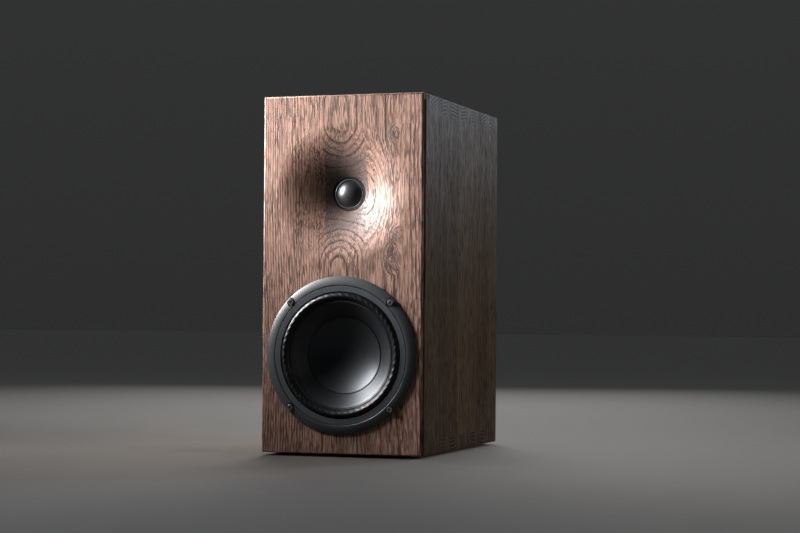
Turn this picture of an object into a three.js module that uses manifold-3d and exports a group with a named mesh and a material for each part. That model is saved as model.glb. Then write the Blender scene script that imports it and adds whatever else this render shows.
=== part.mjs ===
// A two-way bookshelf loudspeaker in solid oak: a finger-jointed cabinet, a thick sculpted
// baffle that is the tweeter's waveguide, a surface-mounted woofer, a rear reflex port,
// binding posts and the crossover inside. Millimetres, +Z up, the front looks along -Y.
// The origin is under the middle of the cabinet, on the plane the feet stand on, with y = 0
// moved to the middle of the depth only when the group is placed at the end of the file.
import * as THREE from "three";
import { mergeVertices } from "three/addons/utils/BufferGeometryUtils.js";
import Module from "manifold-3d";

const wasm = await Module();
wasm.setup();

// ---- Driving dimensions -------------------------------------------------------------------

// Cabinet
const WIDTH = 180;
const HEIGHT = 380;
const DEPTH = 280;
const PANEL = 16; // thickness of every cabinet panel
const GLUE = 0.2; // glue line between neighbouring pieces
const FOOT_HEIGHT = 3;
const FOOT_RADIUS = 9;
const FOOT_INSET = 24; // from the cabinet's sides to a foot's axis

// Finger joints along the cabinet's four long corners
const FINGER_COUNT = 7;
const FINGER_WIDTH = 19;
const FINGER_PITCH = 37.4;
const FIRST_FINGER = 33; // middle of the first one, behind the front face

// Baffle: a full-size lip in front, and a block that plugs into the cabinet behind it
const LIP = 5;
const SHADOW_GAP = 4;
const BLOCK_BACK = 40;
const BLOCK_CLEARANCE = 0.3;
const SPACER_INSET = 5; // the black spacer in the shadow gap stands back from the sides

// Waveguide turned into the baffle
const TWEETER_Z = FOOT_HEIGHT + 276;
const DISH_RADIUS = 76;
const DISH_DEPTH = 21;
const DISH_POWER = 2.1; // how quickly the dish flattens towards its rim
const THROAT_RADIUS = 18.6;

// Woofer
const WOOFER_Z = FOOT_HEIGHT + 104.4;
const FLANGE_RADIUS = 83.5;
const FLANGE_EDGE = 0.7; // height of the flange's edge
const FLANGE_FRONT = -3.8;
const GASKET = 0.9;
const WOOFER_HOLE = 71;
const BARREL_RADIUS = 70.4;
const CLAMP_OUTER = 73.4;
const CLAMP_INNER = 67.2;
const CONE_RADIUS = 57.3;
const CAP_RADIUS = 40.3;
const CAP_SAG = 10.7;
const COIL_RADIUS = 19.6;
const SCREW_CIRCLE = 78.9;
const SPOKES = 8;
const MOTOR_FRONT = 54.3;

// Reflex port, in line with the tweeter on the back
const PORT_RADIUS = 25;
const PORT_WALL = 2.5;
const PORT_FLARE = 11; // radius of the rounding at its rear mouth
const PORT_COLLAR = PORT_RADIUS + PORT_FLARE + 2;
const PORT_FLANGE = PORT_COLLAR + 6;
const PORT_FRONT = 150;

// Terminals
const TERMINAL_Z = FOOT_HEIGHT + 92;
const POST_SPACING = 38;
const POST_RADIUS = 3.6;
const POST_HOLE = 9;

const FRONT_OF_CARCASS = LIP + SHADOW_GAP; // where the sides, top and bottom begin
const BACK_FACE = DEPTH - 1; // the back panel stands 1 mm inside the cabinet's rear edges
const INNER_WIDTH = WIDTH - 2 * PANEL;
const INNER_HEIGHT = HEIGHT - 2 * PANEL;
const FLOOR = FOOT_HEIGHT;
const CEILING = FOOT_HEIGHT + HEIGHT;

// ---- Materials ----------------------------------------------------------------------------

const finish = (color, roughness, metalness = 0) =>
  new THREE.MeshStandardMaterial({ color, roughness, metalness });

const oak = finish(0x5a4234, 0.55);
const plywood = finish(0xb08a5c, 0.7);
const blackRubber = finish(0x0c0d0e, 0.5);
const blackCast = finish(0x1b1d1f, 0.45, 0.4);
const blackPlastic = finish(0x141516, 0.5);
const anodised = finish(0x33373b, 0.3, 0.8);
const steel = finish(0x9a9da0, 0.35, 1);
const copper = finish(0xb46a3c, 0.35, 1);
const ferrite = finish(0x2a2a2c, 0.7);
const felt = finish(0x6d6a66, 0.95);
const clothYellow = finish(0xb8913d, 0.9);
const boardGreen = finish(0x1f4a33, 0.6);
const gold = finish(0xc9a24a, 0.3, 1);
const redPlastic = finish(0x7a1414, 0.4);

// ---- Geometry helpers ---------------------------------------------------------------------

// A geometry with shared vertices only, no empty triangles, and its faces pointing out.
function closed(geometry) {
  const bare = geometry.clone();
  bare.deleteAttribute("normal");
  bare.deleteAttribute("uv");
  const merged = mergeVertices(bare, 1e-4);
  const position = merged.attributes.position;
  const old = merged.index.array;
  const index = [];
  for (let i = 0; i < old.length; i += 3) {
    const [a, b, c] = [old[i], old[i + 1], old[i + 2]];
    if (a !== b && b !== c && c !== a) index.push(a, b, c);
  }
  const corners = [0, 1, 2].map(() => new THREE.Vector3());
  let volume = 0;
  for (let i = 0; i < index.length; i += 3) {
    corners.forEach((corner, k) => corner.fromBufferAttribute(position, index[i + k]));
    volume += corners[0].dot(corners[1].cross(corners[2]));
  }
  if (volume < 0) index.reverse();
  merged.setIndex(index);
  return merged;
}

function solidOf(geometry) {
  const merged = closed(geometry);
  return new wasm.Manifold(
    new wasm.Mesh({
      numProp: 3,
      vertProperties: new Float32Array(merged.attributes.position.array),
      triVerts: new Uint32Array(merged.index.array),
    }),
  );
}

function geometryOf(solid) {
  const mesh = solid.getMesh();
  const geometry = new THREE.BufferGeometry();
  geometry.setAttribute("position", new THREE.BufferAttribute(mesh.vertProperties, 3));
  geometry.setIndex(new THREE.BufferAttribute(mesh.triVerts, 1));
  return geometry;
}

const cut = (geometry, ...tools) =>
  geometryOf(tools.reduce((left, tool) => left.subtract(solidOf(tool)), solidOf(geometry)));

const join = (geometry, ...others) =>
  geometryOf(others.reduce((sum, other) => sum.add(solidOf(other)), solidOf(geometry)));

// A box from its lowest and highest x, y and z.
const block = (x0, x1, y0, y1, z0, z1) =>
  closed(
    new THREE.BoxGeometry(x1 - x0, y1 - y0, z1 - z0).translate(
      (x0 + x1) / 2,
      (y0 + y1) / 2,
      (z0 + z1) / 2,
    ),
  );

const at = (r, y) => new THREE.Vector2(r, y);

// A solid turned about the Y axis from (radius, y) points. It starts and ends on the axis,
// or closes on itself as a ring.
const turned = (profile, segments = 32) => closed(new THREE.LatheGeometry(profile, segments));

function ring(inner, outer, y0, y1, segments = 32) {
  return turned([at(inner, y0), at(outer, y0), at(outer, y1), at(inner, y1), at(inner, y0)], segments);
}

const disc = (radius, y0, y1, segments = 32) =>
  turned([at(0, y0), at(radius, y0), at(radius, y1), at(0, y1)], segments);

// Points of f(t) for t from 0 to 1.
const sampled = (steps, f) => Array.from({ length: steps + 1 }, (_, i) => f(i / steps));

// A thin turned skin: the front line as given, and the same line moved back by the wall.
function skin(front, wall, segments = 32) {
  const back = front.map((p) => at(p.x, p.y + wall)).reverse();
  return turned([...front, ...back, front[0]], segments);
}

const extruded = (shape, depth, curveSegments = 4) =>
  closed(new THREE.ExtrudeGeometry(shape, { depth, curveSegments, bevelEnabled: false }));

// A closed outline through [u, v] points.
const outline = (points) => new THREE.Shape(points.map(([u, v]) => new THREE.Vector2(u, v)));

function roundedRectangle(width, height, radius) {
  const shape = new THREE.Shape();
  const [x, y] = [width / 2 - radius, height / 2 - radius];
  const quarter = Math.PI / 2;
  shape.absarc(x, y, radius, 0, quarter);
  shape.absarc(-x, y, radius, quarter, 2 * quarter);
  shape.absarc(-x, -y, radius, 2 * quarter, 3 * quarter);
  shape.absarc(x, -y, radius, 3 * quarter, 4 * quarter);
  return shape;
}

const speaker = new THREE.Group();

function add(name, geometry, material, parent = speaker) {
  const mesh = new THREE.Mesh(geometry, material);
  mesh.name = name;
  parent.add(mesh);
  return mesh;
}

// ---- Cabinet ------------------------------------------------------------------------------

// The middles of the top and bottom panels' fingers, front to back.
const FINGERS = Array.from({ length: FINGER_COUNT }, (_, k) => FIRST_FINGER + k * FINGER_PITCH);

// A panel's outline with a comb along both ends. u runs front to back and v from end to end.
// Where inward is true the fingers are notches of this panel, else they stand out of it.
function combedOutline(halfLength, inward) {
  const full = halfLength;
  const short = halfLength - PANEL - GLUE;
  const half = (FINGER_WIDTH + (inward ? GLUE : -GLUE)) / 2;
  const [base, other] = inward ? [full, short] : [short, full];
  const edge = [[FRONT_OF_CARCASS, base]];
  for (const y of FINGERS) {
    edge.push([y - half, base], [y - half, other], [y + half, other], [y + half, base]);
  }
  edge.push([DEPTH, base]);
  const mirrored = edge.map(([u, v]) => [u, -v]).reverse();
  return outline([...edge, ...mirrored]);
}

// Side panels: the outline's u is y and its v is z, extruded along x.
const sideways = new THREE.Matrix4().makeBasis(
  new THREE.Vector3(0, 1, 0),
  new THREE.Vector3(0, 0, 1),
  new THREE.Vector3(1, 0, 0),
);
const sideShape = extruded(combedOutline(HEIGHT / 2, true), PANEL).applyMatrix4(sideways);
add("side_panel_left", sideShape, oak).position.set(-WIDTH / 2, 0, FLOOR + HEIGHT / 2);
add("side_panel_right", sideShape.clone(), oak).position.set(WIDTH / 2 - PANEL, 0, FLOOR + HEIGHT / 2);

// Top and bottom: the outline's u is y and its v is x, extruded along z.
const flatways = new THREE.Matrix4().makeBasis(
  new THREE.Vector3(0, 1, 0),
  new THREE.Vector3(1, 0, 0),
  new THREE.Vector3(0, 0, 1),
);
const lidShape = closed(extruded(combedOutline(WIDTH / 2, false), PANEL).applyMatrix4(flatways));
add("bottom_panel", lidShape, oak).position.z = FLOOR;
add("top_panel", lidShape.clone(), oak).position.z = CEILING - PANEL;

// Back panel, with holes for the port and the two posts, screwed to two cleats.
const backPanel = cut(
  block(
    -INNER_WIDTH / 2 + GLUE,
    INNER_WIDTH / 2 - GLUE,
    BACK_FACE - PANEL,
    BACK_FACE,
    FLOOR + PANEL + GLUE,
    CEILING - PANEL - GLUE,
  ),
  disc(PORT_COLLAR + 0.4, BACK_FACE - PANEL - 1, BACK_FACE + 1, 32).translate(0, 0, TWEETER_Z),
  ...[-1, 1].map((side) =>
    disc(POST_HOLE, BACK_FACE - PANEL - 1, BACK_FACE + 1, 20).translate((side * POST_SPACING) / 2, 0, TERMINAL_Z),
  ),
);
add("back_panel", backPanel, oak);

const CLEAT = 15;
for (const [name, side] of [["left", -1], ["right", 1]]) {
  const outer = side * (INNER_WIDTH / 2 - GLUE);
  const inner = side * (INNER_WIDTH / 2 - CLEAT);
  add(
    `rear_cleat_${name}`,
    block(
      Math.min(outer, inner),
      Math.max(outer, inner),
      BACK_FACE - PANEL - GLUE - CLEAT,
      BACK_FACE - PANEL - GLUE,
      FLOOR + PANEL + GLUE,
      CEILING - PANEL - GLUE,
    ),
    plywood,
  );
}

// Shelf brace between the drivers: a plate with a grid of round holes, narrower at its
// rear corners to clear the cleats.
const BRACE_THICKNESS = 12;
const BRACE_Z = FLOOR + 198;
const BRACE_HOLE = 16;
const BRACE_COLUMN = 45;
const BRACE_ROWS = [0, 1, 2, 3].map((row) => BLOCK_BACK + 38 + row * 48);
const braceEnd = BACK_FACE - PANEL - GLUE;
const cleatFront = braceEnd - CLEAT - GLUE;
const braceHalf = INNER_WIDTH / 2 - GLUE;
const braceNeck = INNER_WIDTH / 2 - CLEAT - GLUE;
const braceFront = BLOCK_BACK + 1;
const braceShape = outline([
  [-braceHalf, braceFront],
  [braceHalf, braceFront],
  [braceHalf, cleatFront],
  [braceNeck, cleatFront],
  [braceNeck, braceEnd],
  [-braceNeck, braceEnd],
  [-braceNeck, cleatFront],
  [-braceHalf, cleatFront],
]);
for (const x of [-BRACE_COLUMN, 0, BRACE_COLUMN]) {
  for (const y of BRACE_ROWS) {
    const hole = new THREE.Path();
    hole.absarc(x, y, BRACE_HOLE, 0, 2 * Math.PI, true);
    braceShape.holes.push(hole);
  }
}
add("shelf_brace", extruded(braceShape, BRACE_THICKNESS, 6), plywood).position.z = BRACE_Z;

// Felt linings inside the sides, below and above the brace.
const LINING = 8;
for (const [name, side] of [["left", -1], ["right", 1]]) {
  const outer = side * (INNER_WIDTH / 2 - GLUE);
  const inner = side * (INNER_WIDTH / 2 - LINING);
  const xs = [Math.min(outer, inner), Math.max(outer, inner)];
  add(
    `felt_lining_${name}`,
    block(...xs, BLOCK_BACK + 50, cleatFront - 2, BRACE_Z + BRACE_THICKNESS + 4, CEILING - PANEL - 6),
    felt,
  );
}

// Feet: soft round pads near the corners.
const footYs = [FRONT_OF_CARCASS + FOOT_INSET, DEPTH - FOOT_INSET];
let footNumber = 0;
for (const y of footYs) {
  for (const side of [-1, 1]) {
    footNumber += 1;
    const pad = disc(FOOT_RADIUS, 0, FOOT_HEIGHT - 0.05, 24).rotateX(Math.PI / 2);
    add(`foot_${footNumber}`, closed(pad), blackRubber).position.set(side * (WIDTH / 2 - FOOT_INSET), y, 0);
  }
}

// ---- Front baffle and its spacer ----------------------------------------------------------

const dishDepth = (r) =>
  DISH_DEPTH * (1 - (r - THROAT_RADIUS) / (DISH_RADIUS - THROAT_RADIUS)) ** DISH_POWER;
const dishCurve = sampled(9, (t) => {
  const r = DISH_RADIUS + (THROAT_RADIUS - DISH_RADIUS) * t;
  return at(r, dishDepth(r));
});
const TWEETER_PLATE = 26; // front of the pocket that the tweeter's plate is screwed into
const TWEETER_POCKET = 37;
const RELIEF_START = 9; // the woofer's hole widens from here to the block's back
const RELIEF_RADIUS = 84;

const woofer = (geometry) => geometry.translate(0, 0, WOOFER_Z);
const tweeter = (geometry) => geometry.translate(0, 0, TWEETER_Z);
const SCREW_ANGLES = [45, 135, 225, 315].map((degrees) => (degrees * Math.PI) / 180);
const onScrewCircle = (geometry, angle) =>
  geometry.translate(SCREW_CIRCLE * Math.cos(angle), 0, SCREW_CIRCLE * Math.sin(angle));
const PILOT_DEPTH = 15;

const blockHalf = INNER_WIDTH / 2 - BLOCK_CLEARANCE;
const baffleBlank = join(
  block(-WIDTH / 2, WIDTH / 2, 0, LIP, FLOOR, CEILING),
  block(
    -blockHalf,
    blockHalf,
    LIP - 1,
    BLOCK_BACK,
    FLOOR + PANEL + BLOCK_CLEARANCE,
    CEILING - PANEL - BLOCK_CLEARANCE,
  ),
);
const baffle = cut(
  baffleBlank,
  tweeter(
    turned(
      [at(0, -2), at(DISH_RADIUS, -2), ...dishCurve, at(THROAT_RADIUS, TWEETER_PLATE + 1), at(0, TWEETER_PLATE + 1)],
      40,
    ),
  ),
  tweeter(disc(TWEETER_POCKET, TWEETER_PLATE, BLOCK_BACK + 1)),
  woofer(
    turned(
      [
        at(0, -2),
        at(WOOFER_HOLE, -2),
        at(WOOFER_HOLE, RELIEF_START),
        at(RELIEF_RADIUS, BLOCK_BACK + 1),
        at(0, BLOCK_BACK + 1),
      ],
      40,
    ),
  ),
  ...SCREW_ANGLES.map((angle) => woofer(onScrewCircle(disc(2.4, -2, PILOT_DEPTH, 12), angle))),
);
add("front_baffle", baffle, oak);

const spacer = cut(
  block(
    -WIDTH / 2 + SPACER_INSET,
    WIDTH / 2 - SPACER_INSET,
    LIP + GLUE,
    FRONT_OF_CARCASS - GLUE,
    FLOOR + SPACER_INSET,
    CEILING - SPACER_INSET,
  ),
  block(
    -INNER_WIDTH / 2,
    INNER_WIDTH / 2,
    LIP - 1,
    FRONT_OF_CARCASS + 1,
    FLOOR + PANEL,
    CEILING - PANEL,
  ),
);
add("baffle_spacer", spacer, blackPlastic);

// ---- Woofer -------------------------------------------------------------------------------

const wooferGroup = new THREE.Group();
wooferGroup.position.z = WOOFER_Z;
speaker.add(wooferGroup);

add("woofer_gasket", cut(
  ring(WOOFER_HOLE + 1, FLANGE_RADIUS - 0.5, -GASKET + 0.1, -0.1),
  ...SCREW_ANGLES.map((angle) => onScrewCircle(disc(2.6, -2, 1, 12), angle)),
), blackRubber, wooferGroup);

// Basket: a bevelled flange, a short barrel, and a ring of spokes down to the motor.
const LANDING = -1.9; // the step that the surround's edge is glued to
const LEDGE_Y = 37; // the step that the spider is glued to
const GROOVE = CLAMP_OUTER + 0.6;
const bevel = sampled(3, (t) =>
  at(
    FLANGE_RADIUS - (FLANGE_RADIUS - GROOVE) * t,
    -GASKET - FLANGE_EDGE + (FLANGE_FRONT + GASKET + FLANGE_EDGE) * Math.sin((t * Math.PI) / 2),
  ),
);
const basketProfile = [
  at(BARREL_RADIUS, -GASKET),
  at(FLANGE_RADIUS, -GASKET),
  ...bevel,
  at(GROOVE, LANDING),
  at(67, LANDING),
  at(67, 7),
  at(57, LEDGE_Y),
  at(53.5, LEDGE_Y),
  at(53.5, LEDGE_Y + 2),
  at(55, LEDGE_Y + 2.5),
  at(51, 49.5),
  at(23, 49.5),
  at(23, MOTOR_FRONT - 0.3),
  at(54.5, MOTOR_FRONT - 0.3),
  at(BARREL_RADIUS, 9),
  at(BARREL_RADIUS, -GASKET),
];
const SCREW_SEAT = -1.8; // floor of the pocket that each screw's head sits in
const around = (count, make) =>
  Array.from({ length: count }, (_, k) => make(((k + 0.5) / count) * 2 * Math.PI));
const windowTool = (width, height, y) => (angle) =>
  new THREE.BoxGeometry(44, height, width).translate(70, y, 0).rotateY(angle);
const basket = cut(
  turned(basketProfile, 32),
  ...around(SPOKES, windowTool(34, 21, 23)),
  ...around(SPOKES, windowTool(16, 6, 44.5)),
  ...SCREW_ANGLES.map((angle) => onScrewCircle(disc(2.4, -6, 1, 12), angle)),
  ...SCREW_ANGLES.map((angle) => onScrewCircle(disc(4.75, -6, SCREW_SEAT, 16), angle)),
);
add("woofer_basket", basket, blackCast, wooferGroup);

add("woofer_clamp_ring", ring(CLAMP_INNER, CLAMP_OUTER, FLANGE_FRONT - 0.1, -2.8), blackPlastic, wooferGroup);

// Surround: a flat edge under the clamp ring, a half roll, and a lip on the cone's rim.
const SURROUND_WALL = 0.6;
const CONE_FRONT = -1.2; // front of the cone's flat rim
const ROLL_OUTER = 66.8;
const ROLL_INNER = 58;
const ROLL_HEIGHT = 2.9;
const edgeY = LANDING - 0.1 - SURROUND_WALL;
const lipY = CONE_FRONT - 0.1 - SURROUND_WALL;
const roll = sampled(6, (t) =>
  at(
    (ROLL_OUTER + ROLL_INNER) / 2 + ((ROLL_OUTER - ROLL_INNER) / 2) * Math.cos(t * Math.PI),
    edgeY + (lipY - edgeY) * t - ROLL_HEIGHT * Math.sin(t * Math.PI),
  ),
);
const surroundLine = [at(CLAMP_OUTER, edgeY), ...roll, at(CONE_RADIUS - 2, lipY)];
add("woofer_surround", skin(surroundLine, SURROUND_WALL, 32), blackRubber, wooferGroup);

// Cone: a flat rim, then a curve in to the coil.
const CONE_WALL = 0.9;
const NECK_RADIUS = COIL_RADIUS + 0.4;
const coneCurve = new THREE.QuadraticBezierCurve(at(CONE_RADIUS - 2.6, CONE_FRONT), at(36, 14.6), at(NECK_RADIUS, 27.5));
const coneLine = [at(CONE_RADIUS, CONE_FRONT), ...coneCurve.getPoints(6)];
add("woofer_cone", skin(coneLine, CONE_WALL, 32), anodised, wooferGroup);

// Cap: a concave spherical dish glued over the middle of the cone.
const CAP_WALL = 0.7;
const CAP_FRONT = 9.9; // where its rim meets the cone
const capBall = (CAP_RADIUS ** 2 + CAP_SAG ** 2) / (2 * CAP_SAG);
const capLine = sampled(5, (t) => {
  const r = CAP_RADIUS * (1 - t);
  return at(r, CAP_FRONT + Math.sqrt(capBall ** 2 - r ** 2) - (capBall - CAP_SAG));
});
const capBack = capLine.map((p) => at(p.x, p.y + CAP_WALL)).reverse();
add("woofer_cap", turned([...capBack, ...capLine], 32), anodised, wooferGroup);

add("woofer_coil_former", ring(COIL_RADIUS - 0.5, COIL_RADIUS, 24, 66, 24), anodised, wooferGroup);
add("woofer_voice_coil", ring(COIL_RADIUS + 0.2, COIL_RADIUS + 1.2, 49, 65, 24), copper, wooferGroup);

// Spider: a corrugated cloth disc that centres the coil.
const SPIDER_OUTER = 56;
const SPIDER_WAVES = 4;
const SPIDER_WAVE = 1.6;
const spiderLine = sampled(SPIDER_WAVES * 2 + 1, (t) => {
  const crest = Math.round(t * (SPIDER_WAVES * 2 + 1)) % 2;
  return at(SPIDER_OUTER + (NECK_RADIUS - SPIDER_OUTER) * t, LEDGE_Y - 0.9 - SPIDER_WAVE * crest);
});
add("woofer_spider", skin(spiderLine, 0.6, 20), clothYellow, wooferGroup);

// Motor: front plate, ring magnet, and a back plate in one piece with the vented pole.
const PLATE = 6;
const MAGNET = 18;
const magnetFront = MOTOR_FRONT + PLATE + 0.3;
const yokeFront = magnetFront + MAGNET + 0.3;
add("woofer_front_plate", ring(21.6, 48, MOTOR_FRONT, MOTOR_FRONT + PLATE, 28), steel, wooferGroup);
add("woofer_magnet", ring(31, 52, magnetFront, magnetFront + MAGNET, 28), ferrite, wooferGroup);
add(
  "woofer_yoke",
  turned(
    [
      at(6, MOTOR_FRONT - 1),
      at(18.4, MOTOR_FRONT - 1),
      at(18.4, yokeFront),
      at(48, yokeFront),
      at(48, yokeFront + PLATE),
      at(6, yokeFront + PLATE),
      at(6, MOTOR_FRONT - 1),
    ],
    24,
  ),
  steel,
  wooferGroup,
);

// Solder tags on a small board riveted to the back of the basket's seat.
add("woofer_terminal_strip", block(-13, 13, MOTOR_FRONT, MOTOR_FRONT + 1.6, -64, -48.5), boardGreen, wooferGroup);

// Four socket-head screws hold the basket to the baffle.
const HEAD_FRONT = -4.6;
const HEAD_BACK = SCREW_SEAT - 0.2;
SCREW_ANGLES.forEach((angle, k) => {
  const profile = [
    at(0, HEAD_FRONT),
    at(3.2, HEAD_FRONT),
    at(3.2, HEAD_BACK),
    at(2, HEAD_BACK),
    at(2, PILOT_DEPTH - 1),
    at(0, PILOT_DEPTH - 1),
  ];
  const screw = cut(turned(profile, 16), disc(1.4, HEAD_FRONT - 1, HEAD_FRONT + 1.6, 6));
  add(`woofer_screw_${k + 1}`, onScrewCircle(screw, angle), blackCast, wooferGroup);
});

// ---- Tweeter ------------------------------------------------------------------------------

const tweeterGroup = new THREE.Group();
tweeterGroup.position.z = TWEETER_Z;
speaker.add(tweeterGroup);

const DOME_RADIUS = 13.9;
const DOME_HEIGHT = 5.2;
const DOME_Y = 21.8;
const PLATE_FRONT = TWEETER_PLATE + 0.3;
const PLATE_BACK = PLATE_FRONT + 4;
add(
  "tweeter_face_plate",
  turned(
    [
      at(17, DISH_DEPTH - 0.4),
      at(THROAT_RADIUS - 0.3, DISH_DEPTH - 0.4),
      at(THROAT_RADIUS - 0.3, PLATE_FRONT),
      at(TWEETER_POCKET - 0.6, PLATE_FRONT),
      at(TWEETER_POCKET - 0.6, PLATE_BACK),
      at(14.6, PLATE_BACK),
      at(14.6, DOME_Y + 1),
      at(17, DOME_Y + 1),
      at(17, DISH_DEPTH - 0.4),
    ],
    32,
  ),
  blackPlastic,
  tweeterGroup,
);
const tweeterRoll = sampled(4, (t) =>
  at(15.4 + 1.2 * Math.cos(t * Math.PI), DOME_Y + 0.2 - 1.2 * Math.sin(t * Math.PI)),
);
add(
  "tweeter_surround",
  skin([at(16.8, DOME_Y + 0.2), ...tweeterRoll, at(DOME_RADIUS + 0.2, DOME_Y + 0.2)], 0.4, 24),
  blackRubber,
  tweeterGroup,
);
const domeBall = (DOME_RADIUS ** 2 + DOME_HEIGHT ** 2) / (2 * DOME_HEIGHT);
const domeLine = sampled(4, (t) => {
  const r = DOME_RADIUS * (1 - t);
  return at(r, DOME_Y - (Math.sqrt(domeBall ** 2 - r ** 2) - (domeBall - DOME_HEIGHT)));
});
const domeBack = domeLine.map((p) => at(p.x, p.y + 0.5)).reverse();
add("tweeter_dome", turned([...domeBack, ...domeLine], 24), anodised, tweeterGroup);
add("tweeter_voice_coil", ring(DOME_RADIUS - 0.7, DOME_RADIUS - 0.1, DOME_Y + 0.8, 33, 24), copper, tweeterGroup);
const tweeterMotor = PLATE_BACK + 0.3;
add("tweeter_front_plate", ring(14.4, 31, tweeterMotor, tweeterMotor + 4, 24), steel, tweeterGroup);
add("tweeter_magnet", ring(19, 34, tweeterMotor + 4.3, tweeterMotor + 15.3, 24), ferrite, tweeterGroup);
add(
  "tweeter_yoke",
  turned(
    [
      at(4, tweeterMotor - 1),
      at(12.7, tweeterMotor - 1),
      at(12.7, tweeterMotor + 15.6),
      at(31, tweeterMotor + 15.6),
      at(31, tweeterMotor + 19.6),
      at(4, tweeterMotor + 19.6),
      at(4, tweeterMotor - 1),
    ],
    24,
  ),
  steel,
  tweeterGroup,
);
const CHAMBER_FRONT = tweeterMotor + 19.9;
const CHAMBER_BACK = CHAMBER_FRONT + 22;
add(
  "tweeter_rear_chamber",
  turned(
    [
      at(27, CHAMBER_FRONT),
      at(29.5, CHAMBER_FRONT),
      at(29.5, CHAMBER_BACK - 4),
      at(25.5, CHAMBER_BACK),
      at(0, CHAMBER_BACK),
      at(0, CHAMBER_BACK - 2.5),
      at(24.5, CHAMBER_BACK - 2.5),
      at(27, CHAMBER_BACK - 5),
      at(27, CHAMBER_FRONT),
    ],
    24,
  ),
  blackPlastic,
  tweeterGroup,
);

// ---- Reflex port --------------------------------------------------------------------------

// The tube flares at both ends. A collar fills the hole in the back panel, and a flange
// outside covers the hole's edge.
const PORT_BACK = BACK_FACE + 2;
const INNER_FLARE = 7;
const tubeOuter = PORT_RADIUS + PORT_WALL;
const quarterTurn = (t) => [Math.sin((t * Math.PI) / 2), Math.cos((t * Math.PI) / 2)];
const frontFlare = sampled(3, (t) => {
  const [sine, cosine] = quarterTurn(t);
  return at(PORT_RADIUS + INNER_FLARE * (1 - sine), PORT_FRONT + INNER_FLARE * (1 - cosine));
});
const rearFlare = sampled(4, (t) => {
  const [sine, cosine] = quarterTurn(t);
  return at(PORT_RADIUS + PORT_FLARE * (1 - cosine), PORT_BACK - PORT_FLARE * (1 - sine));
});
const collarFront = BACK_FACE - PANEL + 4;
const portProfile = [
  ...frontFlare,
  ...rearFlare,
  at(PORT_FLANGE, PORT_BACK),
  at(PORT_FLANGE, BACK_FACE + 0.2),
  at(PORT_COLLAR, BACK_FACE + 0.2),
  at(PORT_COLLAR, collarFront),
  at(tubeOuter, collarFront),
  at(tubeOuter, PORT_FRONT + 12),
  at(PORT_RADIUS + INNER_FLARE + 2, PORT_FRONT),
  frontFlare[0],
];
add("reflex_port", turned(portProfile, 28), blackPlastic).position.z = TWEETER_Z;

// ---- Terminals ----------------------------------------------------------------------------

const TERMINAL_PLATE = 3;
const postHole = disc(POST_RADIUS + 0.4, -1, TERMINAL_PLATE + 1, 16);
const plateGeometry = cut(
  extruded(roundedRectangle(92, 46, 6), TERMINAL_PLATE).rotateX(-Math.PI / 2),
  ...[-1, 1].map((side) => postHole.clone().translate((side * POST_SPACING) / 2, 0, 0)),
);
const plateFront = BACK_FACE + 0.2;
add("terminal_plate", plateGeometry, anodised).position.set(0, plateFront, TERMINAL_Z);

// Each post: a threaded stud with a collar, a nut inside, a washer, and a fluted cap that
// screws down on the washer. A socket in the stud's end takes a plug.
const plateBack = plateFront + TERMINAL_PLATE;
const COLLAR = 8;
const COLLAR_BACK = 4.3;
const WASHER_BACK = COLLAR_BACK + 1.8;
const STUD_LENGTH = 22; // each way from the plate's back
const CAP_LENGTH = 17;
const FLUTES = 8;
const flutedLine = sampled(FLUTES * 4, (t) => {
  const r = 8.2 + 0.55 * Math.cos(t * FLUTES * 2 * Math.PI);
  return [r * Math.cos(t * 2 * Math.PI), r * Math.sin(t * 2 * Math.PI)];
});
const capOutline = outline(flutedLine.slice(0, -1));
const capHole = new THREE.Path();
capHole.absarc(0, 0, POST_RADIUS + 0.3, 0, 2 * Math.PI, true);
capOutline.holes.push(capHole);
const capBody = extruded(capOutline, CAP_LENGTH, 8).rotateX(-Math.PI / 2);
const hexNut = cut(disc(7, -6.4, -TERMINAL_PLATE - 0.3, 6), disc(POST_RADIUS + 0.3, -7, 0, 16));

for (const [name, side, material] of [["red", -1, redPlastic], ["black", 1, blackPlastic]]) {
  const post = new THREE.Group();
  post.position.set((side * POST_SPACING) / 2, plateBack, TERMINAL_Z);
  speaker.add(post);
  const stud = turned(
    [
      at(0, -STUD_LENGTH),
      at(POST_RADIUS - 0.4, -STUD_LENGTH),
      at(POST_RADIUS, -STUD_LENGTH + 1),
      at(POST_RADIUS, 0.3),
      at(COLLAR, 0.3),
      at(COLLAR, COLLAR_BACK),
      at(POST_RADIUS, COLLAR_BACK),
      at(POST_RADIUS, STUD_LENGTH),
      at(2.1, STUD_LENGTH),
      at(2.1, 6),
      at(0, 6),
    ],
    16,
  );
  add(`post_stud_${name}`, stud, gold, post);
  add(`post_nut_${name}`, hexNut.clone(), steel, post);
  add(`post_washer_${name}`, ring(POST_RADIUS + 0.3, COLLAR, COLLAR_BACK + 0.3, WASHER_BACK, 16), gold, post);
  add(`post_cap_${name}`, capBody.clone(), material, post).position.y = WASHER_BACK + 0.3;
}

// ---- Crossover and wiring -----------------------------------------------------------------

const BOARD = 6;
const boardTop = FLOOR + PANEL + GLUE + BOARD;
add("crossover_board", block(-55, 55, 128, 238, boardTop - BOARD, boardTop), plywood);

const upright = (geometry) => geometry.rotateX(Math.PI / 2);
const coil = (inner, outer, height) => closed(upright(ring(inner, outer, 0, height, 24)));
add("woofer_inductor", coil(11, 24, 20), copper).position.set(-26, 158, boardTop + 20.3);
add("tweeter_inductor", coil(7, 14, 14), copper).position.set(34, 145, boardTop + 14.3);
const CAN_RADIUS = 10;
[-22, 18].forEach((x, k) => {
  const can = disc(CAN_RADIUS, -22, 22, 16);
  add(`crossover_capacitor_${k + 1}`, can, redPlastic).position.set(x, 208, boardTop + CAN_RADIUS + 0.3);
});
add("crossover_resistor", block(38, 47, 175, 220, boardTop + 0.3, boardTop + 9.3), felt);

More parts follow.
